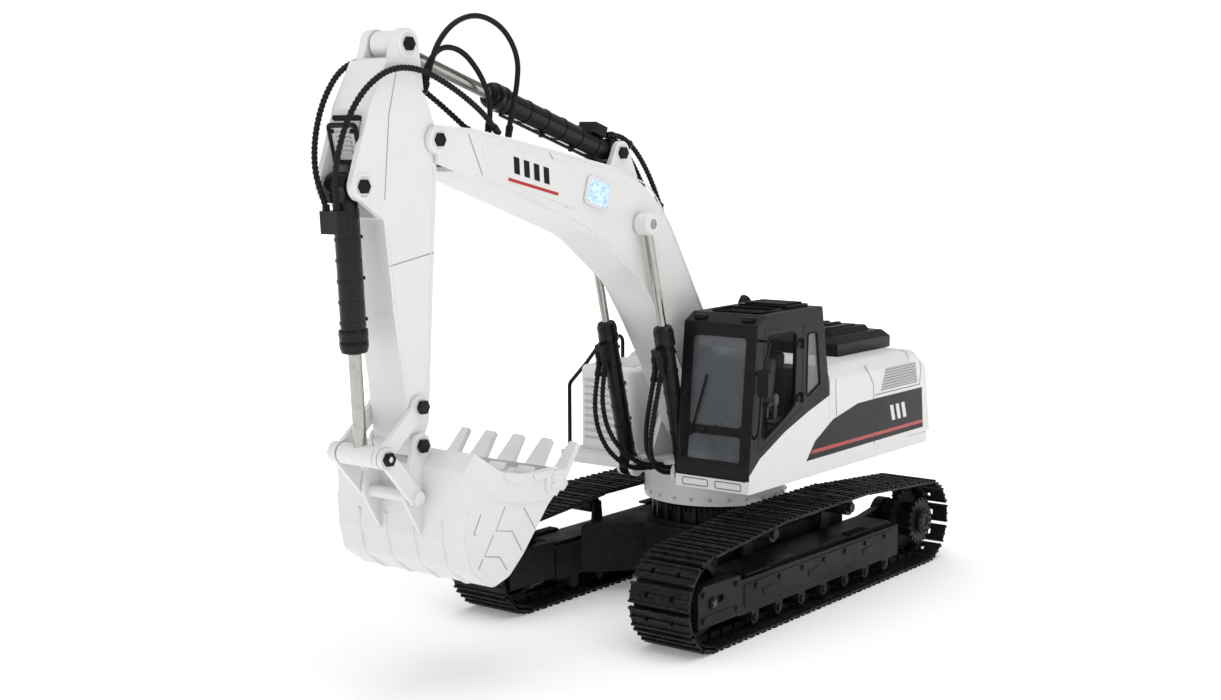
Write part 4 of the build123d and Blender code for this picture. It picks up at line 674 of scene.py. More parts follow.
class EXCAVATOR_OT_hoses(Step):
    """Every hose, with its crimped ends."""

    bl_idname = "excavator.hoses"
    bl_label = "Hoses"

    def execute(self, context):
        boom_ends, stick_ends, barrel_ends, stick_barrel_ends, slab_ends = (Shape() for _ in range(5))
        swing = dict(bodies=("boom", "stick"), stands_for="stick_hoses")
        over = dict(swing, start=(275, 350), end=(352, 350), ribbed=True)
        left = make_hose("bucket_hose_left", BUCKET_HOSE_LEFT, **over)
        right = make_hose("bucket_hose_right", BUCKET_HOSE_RIGHT, **over)
        outer = make_hose("loop_outer", LOOP_OUTER, start=(252, 350), end=(318, 375), ribbed=False, **swing)
        inner = make_hose("loop_inner", LOOP_INNER, start=(266, 350), end=(316, 372), ribbed=False, **swing)
        for path in (left, right):
            ferrule(boom_ends, path)
        for path in (outer, inner):
            ferrule(stick_ends, path)
            ferrule(boom_ends, path, first=False)
        for way, hand in ((1, "left"), (-1, "right")):
            path = make_hose(
                f"back_hose_{hand}", [(x, way * 4.6, z) for x, z in BACK_HOSE], ("boom", "stick_barrel"),
                (100, 320), (134, 336), True, "boom_back_hoses",
            )
            ferrule(stick_barrel_ends, path)
            for label, points in (("inner", CYLINDER_HOSE_INNER), ("outer", CYLINDER_HOSE_OUTER)):
                path = make_hose(
                    f"cylinder_hose_{label}_{hand}", [(x, way * y, z) for x, y, z in points],
                    ("house", "boom_barrels"), (70, 98), (104, 168), True, "cylinder_hoses",
                )
                ferrule(barrel_ends, path)
                ferrule(slab_ends, path, first=False)
        piece("hose_ends_on_boom", boom_ends, "bolt_black", "boom", smooth=True)
        piece("hose_ends_on_stick", stick_ends, "bolt_black", "stick", smooth=True)
        piece("hose_ends_on_boom_cylinders", barrel_ends, "bolt_black", "boom_barrels", smooth=True)
        piece("hose_ends_on_stick_cylinder", stick_barrel_ends, "bolt_black", "stick_barrel", smooth=True)
        piece("hose_ends_on_slab", slab_ends, "bolt_black", "house", smooth=True)
        return {"FINISHED"}


# ---- house ---------------------------------------------------------------------------------------
STRIPE = [(19.9, 106.3), (7.8, 119.4), (-17, 131.6), (-53, 138.8), (-78, 139.1), (-154, 139), (-157, 107)]


class EXCAVATOR_OT_house_markings(Step):
    """Black band with a red line, slanted bars and panel seams on both sides of the house."""

    bl_idname = "excavator.house_markings"
    bl_label = "House markings"

    def execute(self, context):
        lift = context.scene.excavator_sizes.marking_lift
        flank = HALF_WIDTH
        band = Shape().add(plate(STRIPE, flank - 0.05, flank + lift))
        band.mirrored()
        piece("side_band", band, "decal_black", "house")
        line = [(14, 110.6), (11.6, 113.2), (-156, 113.2), (-156.6, 110.6)]
        red = Shape().add(plate(line, flank, flank + 1.8 * lift))
        red.mirrored()
        piece("side_red_line", red, "decal_red", "house")
        # three slanted bars on the rear of the band
        bars = Shape()
        for number in range(3):
            x = -106.0 - 9.0 * number
            bars.add(plate([(x, 119), (x - 5, 119), (x - 1, 131), (x + 4, 131)], flank, flank + 1.8 * lift))
        bars.mirrored()
        piece("side_bars", bars, "white_paint", "house")
        seams = Shape()
        for route in (
            [(-62.0, 166.0), (-71.0, 157.0), (-76.0, 150.0), (-78.0, 128.0), (-79.0, 104.5)],
            [(-20.0, 160.6), (-20.6, 145.0), (-22.0, 133.0)],
            [(-79.0, 141.8), (-120.0, 141.8), (-150.0, 141.8)],
            [(-150.0, 141.8), (-151.8, 152.0), (-150.0, 160.0)],
        ):
            seams.add(plate(line_outline(route, 0.7), flank - 0.02, flank + 0.5 * lift))
        seams.mirrored()
        piece("panel_seams", seams, "seam_grey", "house")
        return {"FINISHED"}


class EXCAVATOR_OT_louvres(Step):
    """Pressed cooling louvres on both flanks, with a painted shadow under each slat, and the slots in the engine hood.
    """

    bl_idname = "excavator.louvres"
    bl_label = "Louvres and hood"

    def execute(self, context):
        slats, slat_shadows = Shape(), Shape()
        for number in range(8):
            z = 144.6 + 2.1 * number
            front, rear = -88.0 - 0.9 * number, -146.0 + 0.5 * number
            slat = rounded(box_outline((rear, z), (front, z + 1.0)), 0.45, 3)
            slats.add(plate(slat, HALF_WIDTH - 0.05, HALF_WIDTH + 0.5, bevel=0.2))
            # a dark strip under each slat: painted shadow cast by the slat
            slat_shadow = rounded(box_outline((rear, z - 0.6), (front, z)), 0.25, 3)
            slat_shadows.add(plate(slat_shadow, HALF_WIDTH - 0.02, HALF_WIDTH + 0.08))
        piece("louvre_slats", slats.mirrored(), "white_shade", "house")
        piece("louvre_gaps", slat_shadows.mirrored(), "seam_grey", "house")
        hood = Shape()
        hood_top = 188.1
        for row in range(2):
            for number in range(7):
                centre = (-90.0 - 29.0 * row, -30.0 + 10.0 * number, hood_top + 0.5)
                hood.add(block(centre, (22.0, 4.6, 1.8), 0.8))
        for y in (-46.0, 46.0):
            hood.add(block((-104.0, y, hood_top - 0.2), (34.0, 5.0, 3.2), 1.2))
            for x in (-86.0, -122.0):
                hood.add(turned([(0, 2.6), (1.2, 2.6), (1.6, 2.0)], (x, y, hood_top - 0.4), (0, 0, 1), 24, 6))
        hood.add(block((-71.5, 30.0, 181.0), (5.0, 26.0, 4.0), 1.4))
        hood.add(block((-71.5, -34.0, 181.0), (5.0, 18.0, 4.0), 1.4))
        piece("hood_ribs", hood, "black_plastic", "house", smooth=True)
        # exhaust tip, bent back
        arc = np.linspace(0, math.radians(58), 10)
        path = np.stack([-58.0 - 9 * (1 - np.cos(arc)), -14.0 + 0 * arc, 202.0 + 9 * np.sin(arc)], -1)
        tip = Shape().add(tube(path, np.linspace(4.3, 4.7, 10), 20))
        tip.add(turned([(0, 4.2), (0.4, 4.9), (2.2, 4.9), (2.6, 4.2)], (-58, -14, 197.0), (0, 0, 1), 24))
        piece("exhaust_tip", tip, "black_plastic", "house", smooth=True)
        return {"FINISHED"}


class EXCAVATOR_OT_cab_trim(Step):
    """Window seals, door fittings, grab rails, roof ribs, sill plates, seat and mirror face of the cab."""

    bl_idname = "excavator.cab_trim"
    bl_label = "Cab trim"

    def execute(self, context):
        flank = HALF_WIDTH
        trim = Shape()
        # raised rubber seal round the door window and the rear side window
        for corners, radius in (
            ([(70.7, 200.0), (34.9, 200.0), (36.3, 149.0), (50.0, 141.0), (79.0, 128.0)], 3.0),
            ([(19.5, 197.5), (7.2, 197.5), (2.0, 160.0), (20.6, 152.0)], 2.0),
        ):
            trim.add(frame_tube(rounded(corners, radius, 4), flank - 0.1, 1, 0.75, 6))
        piece("window_seals", trim, "hose_rubber", "house", smooth=True)
        door = Shape()
        for z in (150.0, 188.0):
            door.add(turned([(0, 1.7), (6.5, 1.7)], (27.5, flank + 0.9, z), (0, 0, 1), 16))
            door.add(block((30.5, flank + 0.3, z + 3.2), (8.0, 1.4, 5.0), 0.6))
        door.add(block((74.0, flank + 0.6, 150.0), (3.4, 1.8, 11.0), 0.8))
        door.add(block((72.6, flank + 1.9, 154.0), (6.4, 1.4, 3.0), 0.65))
        for route in (
            [(25.5, 204.5), (25.8, 170.0), (26.8, 146.0), (48.0, 136.6), (82.0, 122.0)],
            [(25.5, 204.5), (50.0, 205.6), (74.5, 204.6), (78.5, 170.0), (83.0, 124.0)],
        ):
            door.add(plate(line_outline(route, 0.8), flank - 0.02, flank + 0.18))
        piece("door_fittings", door, "bolt_black", "house", smooth=True)
        # grab rail up the front pillar, held off on two feet
        rail = np.array([(88.4, 132.0), (88.2, 133.5), (87.4, 141.0), (84.6, 168.0), (83.8, 175.5), (83.5, 177.0)])
        off = np.array([0.0, 2.6, 3.4, 3.4, 2.6, 0.0])
        line = smooth_line(np.stack([rail[:, 0], flank + off, rail[:, 1]], -1))
        rails = Shape().add(tube(line, 0.9, 10))
        # rail on the front corner beside the boom
        line = smooth_line(
            [(94.4, 36.5, 116.0), (97.0, 36.5, 117.0), (97.0, 36.5, 140.0), (93.6, 36.5, 158.0), (90.6, 36.5, 159.0)]
        )
        rails.add(tube(line, 0.8, 10))
        piece("grab_rails", rails, "black_plastic", "house", smooth=True)
        roof = Shape()
        for number in range(4):
            roof.add(block((8.0 + 6.5 * number, 61.5, 217.6), (3.2, 34.0, 1.8), 0.7))
        for y in (42.0, 81.0):
            roof.add(block((80.0, y, 211.8), (5.0, 10.0, 3.6), 1.3))
        roof.add(frame_tube(rounded(box_outline((37.5, 41.0), (66.5, 82.0)), 4.0, 5), 215.3, 2, 0.9, 6))
        piece("roof_fittings", roof, "black_plastic", "house", smooth=True)
        # outlined plates in the front sill
        sill = Shape()
        for left, right in ((37.0, 58.0), (64.0, 85.0)):
            ring = rounded(box_outline((left, 96.2), (right, 101.0)), 1.0, 4)
            sill.add(frame_tube(ring, 94.75, 0, 0.35, 6, overlap=2))
        piece("sill_outlines", sill, "seam_grey", "house", smooth=True)
        seats = Shape()
        seats.add(block((33.0, 61.5, 160.0), (5.0, 21.0, 40.0), 2.4, turn=8))
        seats.add(block((16.5, 61.5, 176.0), (7.0, 16.0, 13.0), 3.0, turn=6))
        lever = [(0, 1.0), (10, 1.2), (12, 2.4), (17, 2.6), (19, 1.6)]
        for y, lever_y in ((44.0, 41.5), (79.0, 81.5)):
            seats.add(block((34.0, y, 137.0), (30.0, 7.0, 3.0), 1.4))
            seats.add(turned(lever, (46.0, lever_y, 138.0), (0, 0, 1), 14))
        seats.add(block((72.0, 79.5, 142.0), (3.0, 12.0, 16.0), 1.2, turn=-14))
        piece("seat_and_controls", seats, "seat_plastic", "house", smooth=True)
        mirror = Shape().add(block((85.7, flank + 6.0, 170.0), (0.9, 7.4, 17.0), 0.4))
        piece("mirror_face", mirror, "rod_steel", "house", smooth=True)
        return {"FINISHED"}


class EXCAVATOR_OT_tank_and_weight(Step):
    """Tread bars and cap on the tank, rails' feet, the counterweight's ribs, lamps and grille, skirt bolts."""

    bl_idname = "excavator.tank_and_weight"
    bl_label = "Tank and counterweight"

    def execute(self, context):
        tank = Shape()
        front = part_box("side_tank")[1].x * 1000 - SLEW_X
        for number in range(9):
            z = 112.0 + 5.4 * number
            tank.add(block((front + 0.1, -59.0, z), (1.6, 40.0, 2.2), 0.7))
        cap = [(0, 6.0), (2.0, 6.0), (2.6, 5.2), (4.2, 5.0), (4.6, 4.0)]
        tank.add(turned(cap, (0.0, -46.0, 166.6), (0, 0, 1), 28))
        piece("tank_steps", tank, "white_shade", "house", smooth=True)
        feet = Shape()
        for x in (64.0, -2.0):
            feet.add(turned([(0, 3.4), (1.2, 3.4), (1.8, 2.2)], (x, -HALF_WIDTH + 3.0, 102.6), (0, 0, 1), 20))
        piece("handrail_feet", feet, "black_plastic", "house", smooth=True)
        weight = Shape()
        for y in (-58.0, 58.0):
            weight.add(block((-152.0, y, 163.6), (12.0, 9.0, 4.0), 1.6, turn=-34))
        for z in (111.0, 118.0):
            weight.add(block((-170.2, 0.0, z), (2.4, 150.0, 1.6), 0.7))
        piece("weight_ribs", weight, "white_shade", "house", smooth=True)
        lamps = Shape()
        for y in (-74.0, 74.0):
            lamps.add(block((-169.2, y, 127.0), (2.4, 16.0, 6.0), 1.0, turn=-9))
        piece("tail_lamps", lamps, "decal_red", "house", smooth=True)
        grille = Shape()
        for number in range(7):
            grille.add(block((-166.9 + 0.2 * number, 0.0, 131.0 + 2.6 * number), (2.0, 64.0, 1.2), 0.5, turn=-10))
        piece("rear_grille", grille, "black_plastic", "house", smooth=True)
        # bolts round the skirt
        skirt = Shape()
        for angle in np.linspace(0, 2 * math.pi, 24, endpoint=False):
            out = np.array((math.cos(angle), math.sin(angle), 0.0))
            skirt.add(turned([(-0.2, 1.5), (0.7, 1.5), (1.0, 1.0)], out * 52.8 + (0, 0, 74.0), out, 12, 6))
        piece("skirt_bolts", skirt, "white_shade", "house", smooth=True)
        return {"FINISHED"}


# ---- boom, stick and bucket ----------------------------------------------------------------------
class EXCAVATOR_OT_boom_detail(Step):
    """Side plates, seams, weld beads and marking on the boom, lamp frames, hose clamps and boss rings."""

    bl_idname = "excavator.boom_detail"
    bl_label = "Boom detail"

    def execute(self, context):
        lift = context.scene.excavator_sizes.marking_lift
        seams = Shape()
        for route in (
            [(205.0, 315.5), (214.0, 325.2)], [(205.0, 315.5), (197.0, 290.2)],
            [(289.0, 337.0), (277.0, 312.5)],
        ):
            seams.add(plate(line_outline(route, 0.8), BOOM_HALF - 0.02, BOOM_HALF + lift))
        piece("boom_seams", seams.mirrored(), "seam_light", "boom")
        panel = rounded([(272.0, 316.0), (279.0, 333.0), (196.0, 318.8), (184.0, 287.6), (240.0, 303.0)], 2.2, 4)
        raised = Shape().add(plate(panel, BOOM_HALF - 0.05, BOOM_HALF + 0.55, bevel=0.35))
        piece("boom_side_plates", raised.mirrored(), "white_paint", "boom")
        bars = Shape()
        slope = math.radians(13)
        for number in range(4):
            centre = np.array((246.0 - 9.5 * number, 317.6 - 2.2 * number))
            corners = np.array([(-4.2, -5), (1.2, -5), (4.2, 5), (-1.2, 5)]) @ turn_matrix(slope)
            bars.add(plate(corners + centre, BOOM_HALF + 0.5, BOOM_HALF + 0.55 + lift))
        piece("boom_bars", bars.mirrored(), "decal_black", "boom")
        strip = line_outline([(254.0, 309.6), (206.0, 299.0)], 2.0)
        line = Shape().add(plate(strip, BOOM_HALF + 0.5, BOOM_HALF + 0.55 + lift))
        piece("boom_red_line", line.mirrored(), "decal_red", "boom")
        # weld beads along the boom's upper and lower edges
        welds = Shape()
        upper = smooth_line([
            (300.0, 0, 341.6), (282.5, 0, 339.6), (190.0, 0, 323.0), (120.0, 0, 309.6),
            (97.0, 0, 296.0), (60.0, 0, 238.0), (38.0, 0, 203.0), (28.0, 0, 165.0),
        ])
        lower = smooth_line([
            (284.0, 0, 311.2), (225.0, 0, 293.0), (163.0, 0, 270.8), (118.0, 0, 240.0),
            (96.0, 0, 212.0), (74.0, 0, 181.0), (60.0, 0, 160.0),
        ])
        for route, rise in ((upper, -1.5), (lower, 1.5)):
            path, _ = even(route + (0, 0, rise), 1.6)
            path[:, 1] = BOOM_HALF
            bead = 0.5 + 0.1 * np.cos(np.arange(len(path)) * math.pi)
            welds.add(tube(path, bead, 6))
        piece("boom_welds", welds.mirrored(), "white_paint", "boom", smooth=True)
        # frames of the work lamps
        corners = np.array(box_outline((-11.6, -8.6), (11.6, 8.6))) @ turn_matrix(math.radians(17))
        frames = Shape().add(frame_tube(rounded(corners + (166.0, 298.5), 3.0, 5), BOOM_HALF + 1.2, 1, 1.2, 8))
        piece("lamp_frames", frames.mirrored(), "white_paint", "boom", smooth=True)
        # clamps on the back hoses, and stepped rings round the boom's pins
        clamps = Shape()
        for x, z, turn in ((76.0, 286.6, -60), (57.0, 250.6, -62), (112.5, 330.4, -40)):
            clamps.add(block((x + 2.6, 0.0, z - 1.4), (8.6, 15.0, 4.2), 1.3, turn=turn))
        piece("hose_clamps", clamps, "bolt_black", "boom", smooth=True)
        rings = Shape()
        for centre, reach in (((30.0, 126.0), 11.0), ((314.9, 333.7), 8.6)):
            profile = [(-0.1, reach - 0.6), (0.5, reach - 0.7), (0.9, reach - 1.4), (0.9, reach - 2.6)]
            rings.add(turned(profile, (centre[0], BOOM_HALF, centre[1]), (0, 1, 0), 36))
        piece("boom_bosses", rings.mirrored(), "white_paint", "boom", smooth=True)
        return {"FINISHED"}


class EXCAVATOR_OT_stick_detail(Step):
    """Weld beads, stepped boss rings, the motor's black frame and screws on the stick."""

    bl_idname = "excavator.stick_detail"
    bl_label = "Stick detail"

    def execute(self, context):
        welds = Shape()
        front = smooth_line([(341.5, 0, 180.0), (343.4, 0, 196.0), (350.2, 0, 233.0), (356.0, 0, 284.0)])
        rear = smooth_line([(322.6, 0, 190.0), (319.6, 0, 244.0), (316.6, 0, 290.0), (315.0, 0, 318.0)])
        for route in (front, rear):
            path, _ = even(route, 1.6)
            path[:, 1] = STICK_HALF
            path[:, 0] += 1.4 if route is rear else -1.4
            welds.add(tube(path, 0.45, 6))
        piece("stick_welds", welds.mirrored(), "white_paint", "stick", smooth=True)
        seam = Shape()
        for route in (
            [(316.8, 268.0), (335.0, 265.0), (353.6, 262.0)],
            [(345.4, 372.6), (352.0, 348.0), (356.6, 300.0)],
        ):
            seam.add(plate(line_outline(route, 0.7), STICK_HALF - 0.02, STICK_HALF + 0.12))
        piece("stick_seams", seam.mirrored(), "seam_light", "stick")
        rings = Shape()
        for centre, reach in (((335.9, 388.1), 9.0), ((373.7, 307.9), 8.4)):
            profile = [
                (-0.1, reach - 0.6), (0.6, reach - 0.7), (1.0, reach - 1.5),
                (1.0, reach - 2.4), (0.6, reach - 2.8), (0.6, reach - 3.6),
            ]
            rings.add(turned(profile, (centre[0], STICK_HALF, centre[1]), (0, 1, 0), 36))
        piece("stick_bosses", rings.mirrored(), "white_paint", "stick", smooth=True)
        # black frame round the motor box, with four screws
        cage = Shape()
        ring = rounded([(-10.6, 321.4), (10.6, 321.4), (10.6, 342.0), (-10.6, 342.0)], 1.6, 4)
        loop = np.concatenate([ring, ring[:3]])
        slant = 369.9 + (loop[:, 1] - 322.0) * 0.235
        cage.add(tube(np.stack([slant, loop[:, 0], loop[:, 1]], -1), 1.5, 8))
        cage.add(block((366.4, 0.0, 345.2), (12.0, 21.0, 3.0), 1.0, turn=12))
        for y, z in ((-8.0, 325.0), (8.0, 325.0), (-8.0, 338.6), (8.0, 338.6)):
            cage.add(turned([(0, 1.4), (0.9, 1.4), (1.2, 0.9)], (370.2 + (z - 322) * 0.235, y, z), (1, 0, 0.1), 16))
        piece("motor_frame", cage, "black_plastic", "stick", smooth=True)
        fins = Shape()
        for number in range(5):
            z = 327.0 + 2.6 * number
            fins.add(block((370.6 + (z - 322) * 0.235, 0.0, z), (1.6, 12.0, 1.2), 0.5))
        piece("motor_fins", fins, "grey_plastic", "stick", smooth=True)
        return {"FINISHED"}


class EXCAVATOR_OT_bucket_detail(Step):
    """Chevrons drawn as grey lines, painted shade in their engraved grooves, and wear strips on the bucket's sides,
    lip shrouds, tooth sockets and the linkage's caps.
    """

    bl_idname = "excavator.bucket_detail"
    bl_label = "Bucket detail"

    def execute(self, context):
        flank = BUCKET_HALF
        # the engraved chevrons as flat grey lines: painted shade of the grooves
        lines = Shape()
        for route in (
            [(299.2, 117.4), (307.4, 104.3), (293.0, 101.3), (284.2, 87.5)],
            [(309.8, 102.1), (317.9, 90.8), (304.5, 87.8), (298.0, 78.6)],
            [(319.5, 89.5), (325.0, 81.0)],
            [(282.1, 113.8), (271.6, 98.6)],
            [(320.6, 116.3), (327.0, 105.5), (324.7, 104.9)],
        ):
            lines.add(plate(line_outline(route, 0.8), flank - 0.05, flank + 0.12))
        piece("bucket_chevrons", lines.mirrored(), "seam_light", "bucket")
        marks = Shape()
        curve = [(333.4, 139.6), (316.4, 127.9), (305.5, 121.2), (296.0, 117.9), (279.7, 114.7), (260.3, 113.6)]
        marks.add(plate(line_outline(curve, 1.6), flank - 0.05, flank + 0.5, bevel=0.3))
        for shroud in (
            [(302.5, 139.0), (277.0, 133.6), (279.5, 129.2), (296.5, 131.6)],
            [(274.5, 133.2), (254.0, 133.2), (256.5, 128.2), (271.5, 128.8)],
        ):
            marks.add(plate(rounded(shroud, 1.2, 3), flank - 0.05, flank + 1.4, bevel=0.5))
        heel = [(333.0, 120.0), (332.4, 100.0), (328.0, 86.0), (317.0, 76.6)]
        marks.add(plate(line_outline(heel, 3.6), flank - 0.05, flank + 0.8, bevel=0.4))
        cutter = rounded([(238.5, 131.8), (262.0, 131.8), (262.0, 120.0), (250.6, 120.6)], 1.6, 4)
        marks.add(plate(cutter, flank - 0.05, flank + 1.8, bevel=0.6))
        for x, z in ((256.6, 128.4), (256.6, 123.6)):
            marks.add(turned([(0, 1.9), (1.3, 1.9), (1.7, 1.3)], (x, flank + 1.6, z), (0, 1, 0), 24, 6))
        piece("bucket_side_marks", marks.mirrored(), "white_paint", "bucket")
        # sockets that hold the teeth, with a retaining pin each, and shrouds between them
        sockets, shrouds = Shape(), Shape()
        lean = math.degrees(math.atan2(144.0 - 126.8, 240.5 - 224.5))
        for number in range(5):
            y = (number - 2) * 23.8
            wide = 14.6 if abs(number - 2) < 2 else 11.4
            y -= math.copysign(1.8, y) if wide < 14 else 0
            sockets.add(block((243.8, y, 123.8), (13.0, wide, 7.6), 1.8, turn=lean))
            sockets.add(turned([(-wide / 2 - 0.5, 1.3), (wide / 2 + 0.5, 1.3)], (240.6, y, 127.0), (0, 1, 0), 14))
        for number in range(4):
            y = (number - 1.5) * 23.8
            shrouds.add(block((244.4, y, 123.2), (9.0, 7.0, 5.6), 1.6, turn=lean))
        piece("tooth_sockets", sockets, "white_paint", "bucket", smooth=True)
        piece("lip_shrouds", shrouds, "white_paint", "bucket", smooth=True)
        # wear strips under the bowl
        strips = Shape()
        for y in (-34.0, -11.5, 11.5, 34.0):
            bowl = [(334.9, 112.0), (334.6, 100.0), (331.0, 84.0), (320.0, 75.4), (311.0, 70.2), (300.0, 73.0)]
            path, _ = even(smooth_line([(x, y, z) for x, z in bowl]), 2.0)
            strips.add(tube(path, 1.2, 8))
        piece("bowl_strips", strips, "white_paint", "bucket", smooth=True)
        cap = [(-0.1, 4.3), (2.5, 4.3), (2.9, 3.6), (2.9, 2.0), (1.9, 1.9)]
        arm_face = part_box("rocker_arms")[1].y * 1000
        caps = Shape().add(turned(cap, (365.0, arm_face - 2.4, 152.5), (0, 1, 0), 24, 6))
        piece("linkage_caps", caps.mirrored(), "bolt_black", "rocker", smooth=True)
        return {"FINISHED"}


# ---- cylinders -----------------------------------------------------------------------------------
CYLINDERS = [
    # body, base, tip, distances to the left, tube radius, barrel length
    ("boom_barrels", (74.4, 98.5), (119.5, 276.6), (24.6, -24.6), 5.9, 109.9),
    ("stick_barrel", (130.1, 324.4), (335.9, 388.1), (0.0,), 7.2, 125.4),
    ("bucket_barrel", (373.7, 307.9), (365.0, 152.5), (0.0,), 7.2, 95.0),
]


class EXCAVATOR_OT_cylinder_detail(Step):
    """Gland nuts, wiper rings, bands and hose unions on every cylinder barrel."""

    bl_idname = "excavator.cylinder_detail"
    bl_label = "Cylinder detail"

    def execute(self, context):
        for body, base, tip, sides, radius, length in CYLINDERS:
            detail = Shape()
            axis = unit((tip[0] - base[0], 0, tip[1] - base[1]))
            for y in sides:
                foot = np.array((base[0], y, base[1]))
                big = radius + 1.1
                gland = [
                    (length - 13.2, big + 0.1), (length - 12.8, big + 0.25), (length - 8.8, big + 0.25),
                    (length - 8.4, big + 0.05), (length - 6.6, big + 0.05), (length - 6.2, big + 0.2),
                    (length - 3.4, big + 0.2), (length - 3.0, big - 0.4), (length - 0.2, big - 0.6),
                    (length + 0.4, big - 1.4), (length + 1.0, radius * 0.66), (length + 1.0, radius * 0.60),
                    (length - 13.2, radius * 0.60),
                ]
                detail.add(turned(gland, foot, axis, 32, ring=True))
                for along in np.linspace(radius + 10, length - 18, 6):
                    band = [
                        (along, radius + 0.5), (along + 1.8, radius + 0.5),
                        (along + 2.0, radius - 0.3), (along - 0.2, radius - 0.3),
                    ]
                    detail.add(turned(band, foot, axis, 32, ring=True))
                for number in range(6):
                    angle = number * math.pi / 3
                    aside = np.array((0, 1, 0)) * math.cos(angle) + np.cross(axis, (0, 1, 0)) * math.sin(angle)
                    bolt = foot + axis * (length - 10.8) + aside * (big - 0.4)
                    detail.add(turned([(-0.2, 1.1), (0.6, 1.1), (0.8, 0.7)], bolt, aside, 12, 6))
            piece(f"{body}_detail", detail, "cylinder_black", body, smooth=True)
        unions = Shape()
        profile = [(-1.6, 2.3), (2.2, 2.3), (2.4, 1.9), (5.0, 1.9), (5.2, 2.3), (8.6, 2.3), (9.4, 1.5)]
        for way in (1, -1):
            for y in (21.8, 27.2):
                start = np.array((106.3, way * y, 175.6))
                unions.add(turned(profile, start, (0.16, 0, 1), 24, 6))
        piece("boom_cylinder_unions", unions, "bolt_black", "boom_barrels", smooth=True)
        unions = Shape()
        profile = [(-2.0, 2.6), (2.0, 2.6), (2.3, 2.2), (6.0, 2.2), (6.3, 1.9)]
        for y in (4.4, -4.4):
            unions.add(turned(profile, (383.6, y, 291.6), (0, 0, 1), 24, 6))
        piece("bucket_cylinder_unions", unions, "bolt_black", "bucket_barrel", smooth=True)
        # white bosses over the rods' eyes: body, centre, distances to the left, radius, half length
        for body, centre, sides, radius, half in (
            ("boom_rods", (119.5, 276.6), (24.6, -24.6), 7.7, 5.7),
            ("stick_rod", (335.9, 388.1), (0.0,), 7.9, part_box("stick_cylinder_rod")[1].y * 1000 + 0.1),
            ("bucket_rod", (365.0, 152.5), (0.0,), 6.3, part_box("bucket_cylinder_rod")[1].y * 1000 + 0.1),
        ):
            eyes = Shape()
            for y in sides:
                way = 1 if y >= 0 else -1
                profile = [
                    (-half, radius - 0.8), (-half + 0.8, radius), (half - 0.8, radius), (half, radius - 0.8),
                    (half, 3.4), (half - 0.8, 2.8), (half - 0.8, 1.0),
                ]
                eyes.add(turned(profile, (centre[0], y, centre[1]), (0, way, 0), 40))
            piece(f"{body}_eyes", eyes, "white_paint", body, smooth=True)
        return {"FINISHED"}


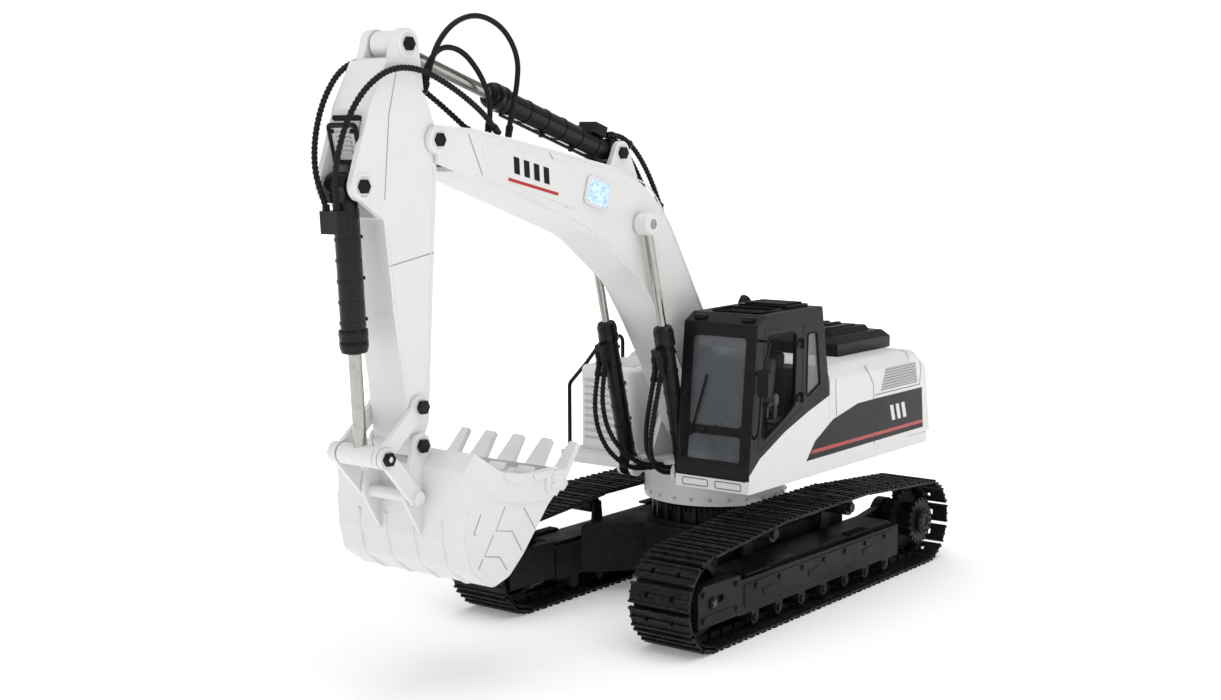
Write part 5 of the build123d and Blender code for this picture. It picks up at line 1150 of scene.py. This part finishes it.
# ---- tracks --------------------------------------------------------------------------------------
class EXCAVATOR_OT_track_detail(Step):
    """Ribbed tread and bolts on the track frames, yoke fittings, sprocket caps, idler belts, slew-ring teeth."""

    bl_idname = "excavator.track_detail"
    bl_label = "Track detail"

    def execute(self, context):
        plates, bolts = Shape(), Shape()
        outer = TRACK_Y + 18.2
        for start, end in ((-60.0, -34.0), (78.0, 108.0)):
            for x in np.arange(start, end, 2.4):
                plates.add(block((x, TRACK_Y + 15.0, 43.0), (1.3, 9.0, 2.0), 0.5))
        side = rounded(box_outline((-100.0, 20.0), (108.0, 36.5)), 3.0, 4)
        plates.add(plate(side, outer - 0.1, outer + 0.7, bevel=0.5))
        for x in np.linspace(-86.0, 94.0, 7):
            bolts.add(turned([(0, 2.0), (1.0, 2.0), (1.4, 1.4)], (x, outer + 0.6, 33.0), (0, 1, 0), 12, 6))
        for x in (-60.0, 18.0, 78.0):
            plates.add(block((x, outer + 0.6, 27.0), (16.0, 1.2, 5.0), 0.5))
        piece("frame_side_plates", plates.mirrored(), "black_metal", "undercarriage", smooth=True)
        piece("frame_bolts", bolts.mirrored(), "bolt_black", "undercarriage", smooth=True)
        yoke = Shape()
        face = TRACK_Y + 20.9
        yoke.add(plate(rounded(box_outline((119.0, 20.6), (163.0, 26.0)), 1.6, 4), face - 0.1, face + 0.5, bevel=0.3))
        for x, z in ((122.0, 40.5), (160.0, 40.5), (122.0, 23.3), (160.0, 23.3)):
            yoke.add(turned([(0, 1.9), (1.0, 1.9), (1.4, 1.3)], (x, face + 0.3, z), (0, 1, 0), 12, 6))
        cross = (149.3, 33.1)
        yoke.add(turned([(0, 3.9), (0.9, 3.8), (1.2, 3.2)], (cross[0], face + 0.6, cross[1]), (0, 1, 0), 24))
        piece("yoke_fittings", yoke.mirrored(), "black_metal", "undercarriage", smooth=True)
        slots = Shape()
        for turn in (0.5, 0.5 + math.pi / 2):
            along = np.array((math.cos(turn), math.sin(turn)))
            ends = [np.array(cross) - along * 2.4, np.array(cross) + along * 2.4]
            slots.add(plate(line_outline(ends, 0.9), face + 1.6, face + 1.9))
        piece("yoke_screw_slots", slots.mirrored(), "seam_grey", "undercarriage")
        for hand, way in (("left", 1), ("right", -1)):
            cap = Shape()
            hub = np.array((-148.8, way * (TRACK_Y + 19.6), 33.1))
            profile = [(-0.1, 10.5), (1.0, 10.3), (1.6, 9.2), (1.6, 4.4), (0.4, 3.6), (0.4, 2.0)]
            cap.add(turned(profile, hub, (0, way, 0), 32))
            for number in range(10):
                angle = number * math.pi / 5
                spot = hub + np.array((math.cos(angle), 0, math.sin(angle))) * 7.6 + (0, way * 1.5, 0)
                cap.add(turned([(0, 1.1), (0.8, 1.1), (1.0, 0.7)], spot, (0, way, 0), 12, 6))
            piece(f"sprocket_cap_{hand}", cap, "wheel_metal", f"sprocket_{hand}_body", smooth=True)
        belts = Shape()
        turn = np.linspace(-math.pi / 2, math.pi / 2, 25)
        rim = np.concatenate([
            np.stack([148.8 + reach * np.cos(sweep), 33.1 + reach * np.sin(sweep)], -1)
            for reach, sweep in ((28.9, turn), (28.3, turn[::-1]))
        ])
        belts.add(plate(rim, TRACK_Y - 22.5, TRACK_Y + 22.5))
        piece("idler_belts", belts.mirrored(), "black_metal", "undercarriage")
        teeth = Shape()
        for angle in np.linspace(0, 2 * math.pi, 72, endpoint=False):
            c, s = math.cos(angle), math.sin(angle)
            tooth, faces = block((0, 0, 0), (3.4, 1.9, 5.0), 0.5, steps=2)
            tooth = tooth @ np.array([[c, s, 0], [-s, c, 0], [0, 0, 1]])
            teeth.add((tooth + (45.6 * c, 45.6 * s, 64.6), faces))
        piece("slew_ring_teeth", teeth, "black_metal", "undercarriage")
        return {"FINISHED"}


class EXCAVATOR_PT_panel(bpy.types.Panel):
    """Lists the steps in the sidebar."""

    bl_idname = "EXCAVATOR_PT_panel"
    bl_label = "Toy Excavator"
    bl_space_type = "VIEW_3D"
    bl_region_type = "UI"
    bl_category = "Excavator"

    def draw(self, context):
        for group in (context.scene.excavator_sizes, context.scene.excavator_colours):
            for name in group.bl_rna.properties.keys():
                if name not in ("rna_type", "name"):
                    self.layout.prop(group, name)
        for step in STEPS:
            self.layout.operator(step.bl_idname)


STEPS = [
    EXCAVATOR_OT_stage,
    EXCAVATOR_OT_frame_finishes,
    EXCAVATOR_OT_hoses,
    EXCAVATOR_OT_house_markings,
    EXCAVATOR_OT_louvres,
    EXCAVATOR_OT_cab_trim,
    EXCAVATOR_OT_tank_and_weight,
    EXCAVATOR_OT_boom_detail,
    EXCAVATOR_OT_stick_detail,
    EXCAVATOR_OT_bucket_detail,
    EXCAVATOR_OT_cylinder_detail,
    EXCAVATOR_OT_track_detail,
]
CLASSES = [ExcavatorColours, ExcavatorSizes, *STEPS, EXCAVATOR_PT_panel]


def register():
    """Registers the classes and puts the property groups on the scene."""
    for each in CLASSES:
        bpy.utils.register_class(each)
    bpy.types.Scene.excavator_colours = bpy.props.PointerProperty(type=ExcavatorColours)
    bpy.types.Scene.excavator_sizes = bpy.props.PointerProperty(type=ExcavatorSizes)


def unregister():
    """Undoes register."""
    del bpy.types.Scene.excavator_sizes
    del bpy.types.Scene.excavator_colours
    for each in reversed(CLASSES):
        bpy.utils.unregister_class(each)


def main():
    """Registers the classes, then runs every step."""
    register()
    for step in STEPS:
        group, name = step.bl_idname.split(".")
        getattr(getattr(bpy.ops, group), name)()


if __name__ == "__main__":
    main()
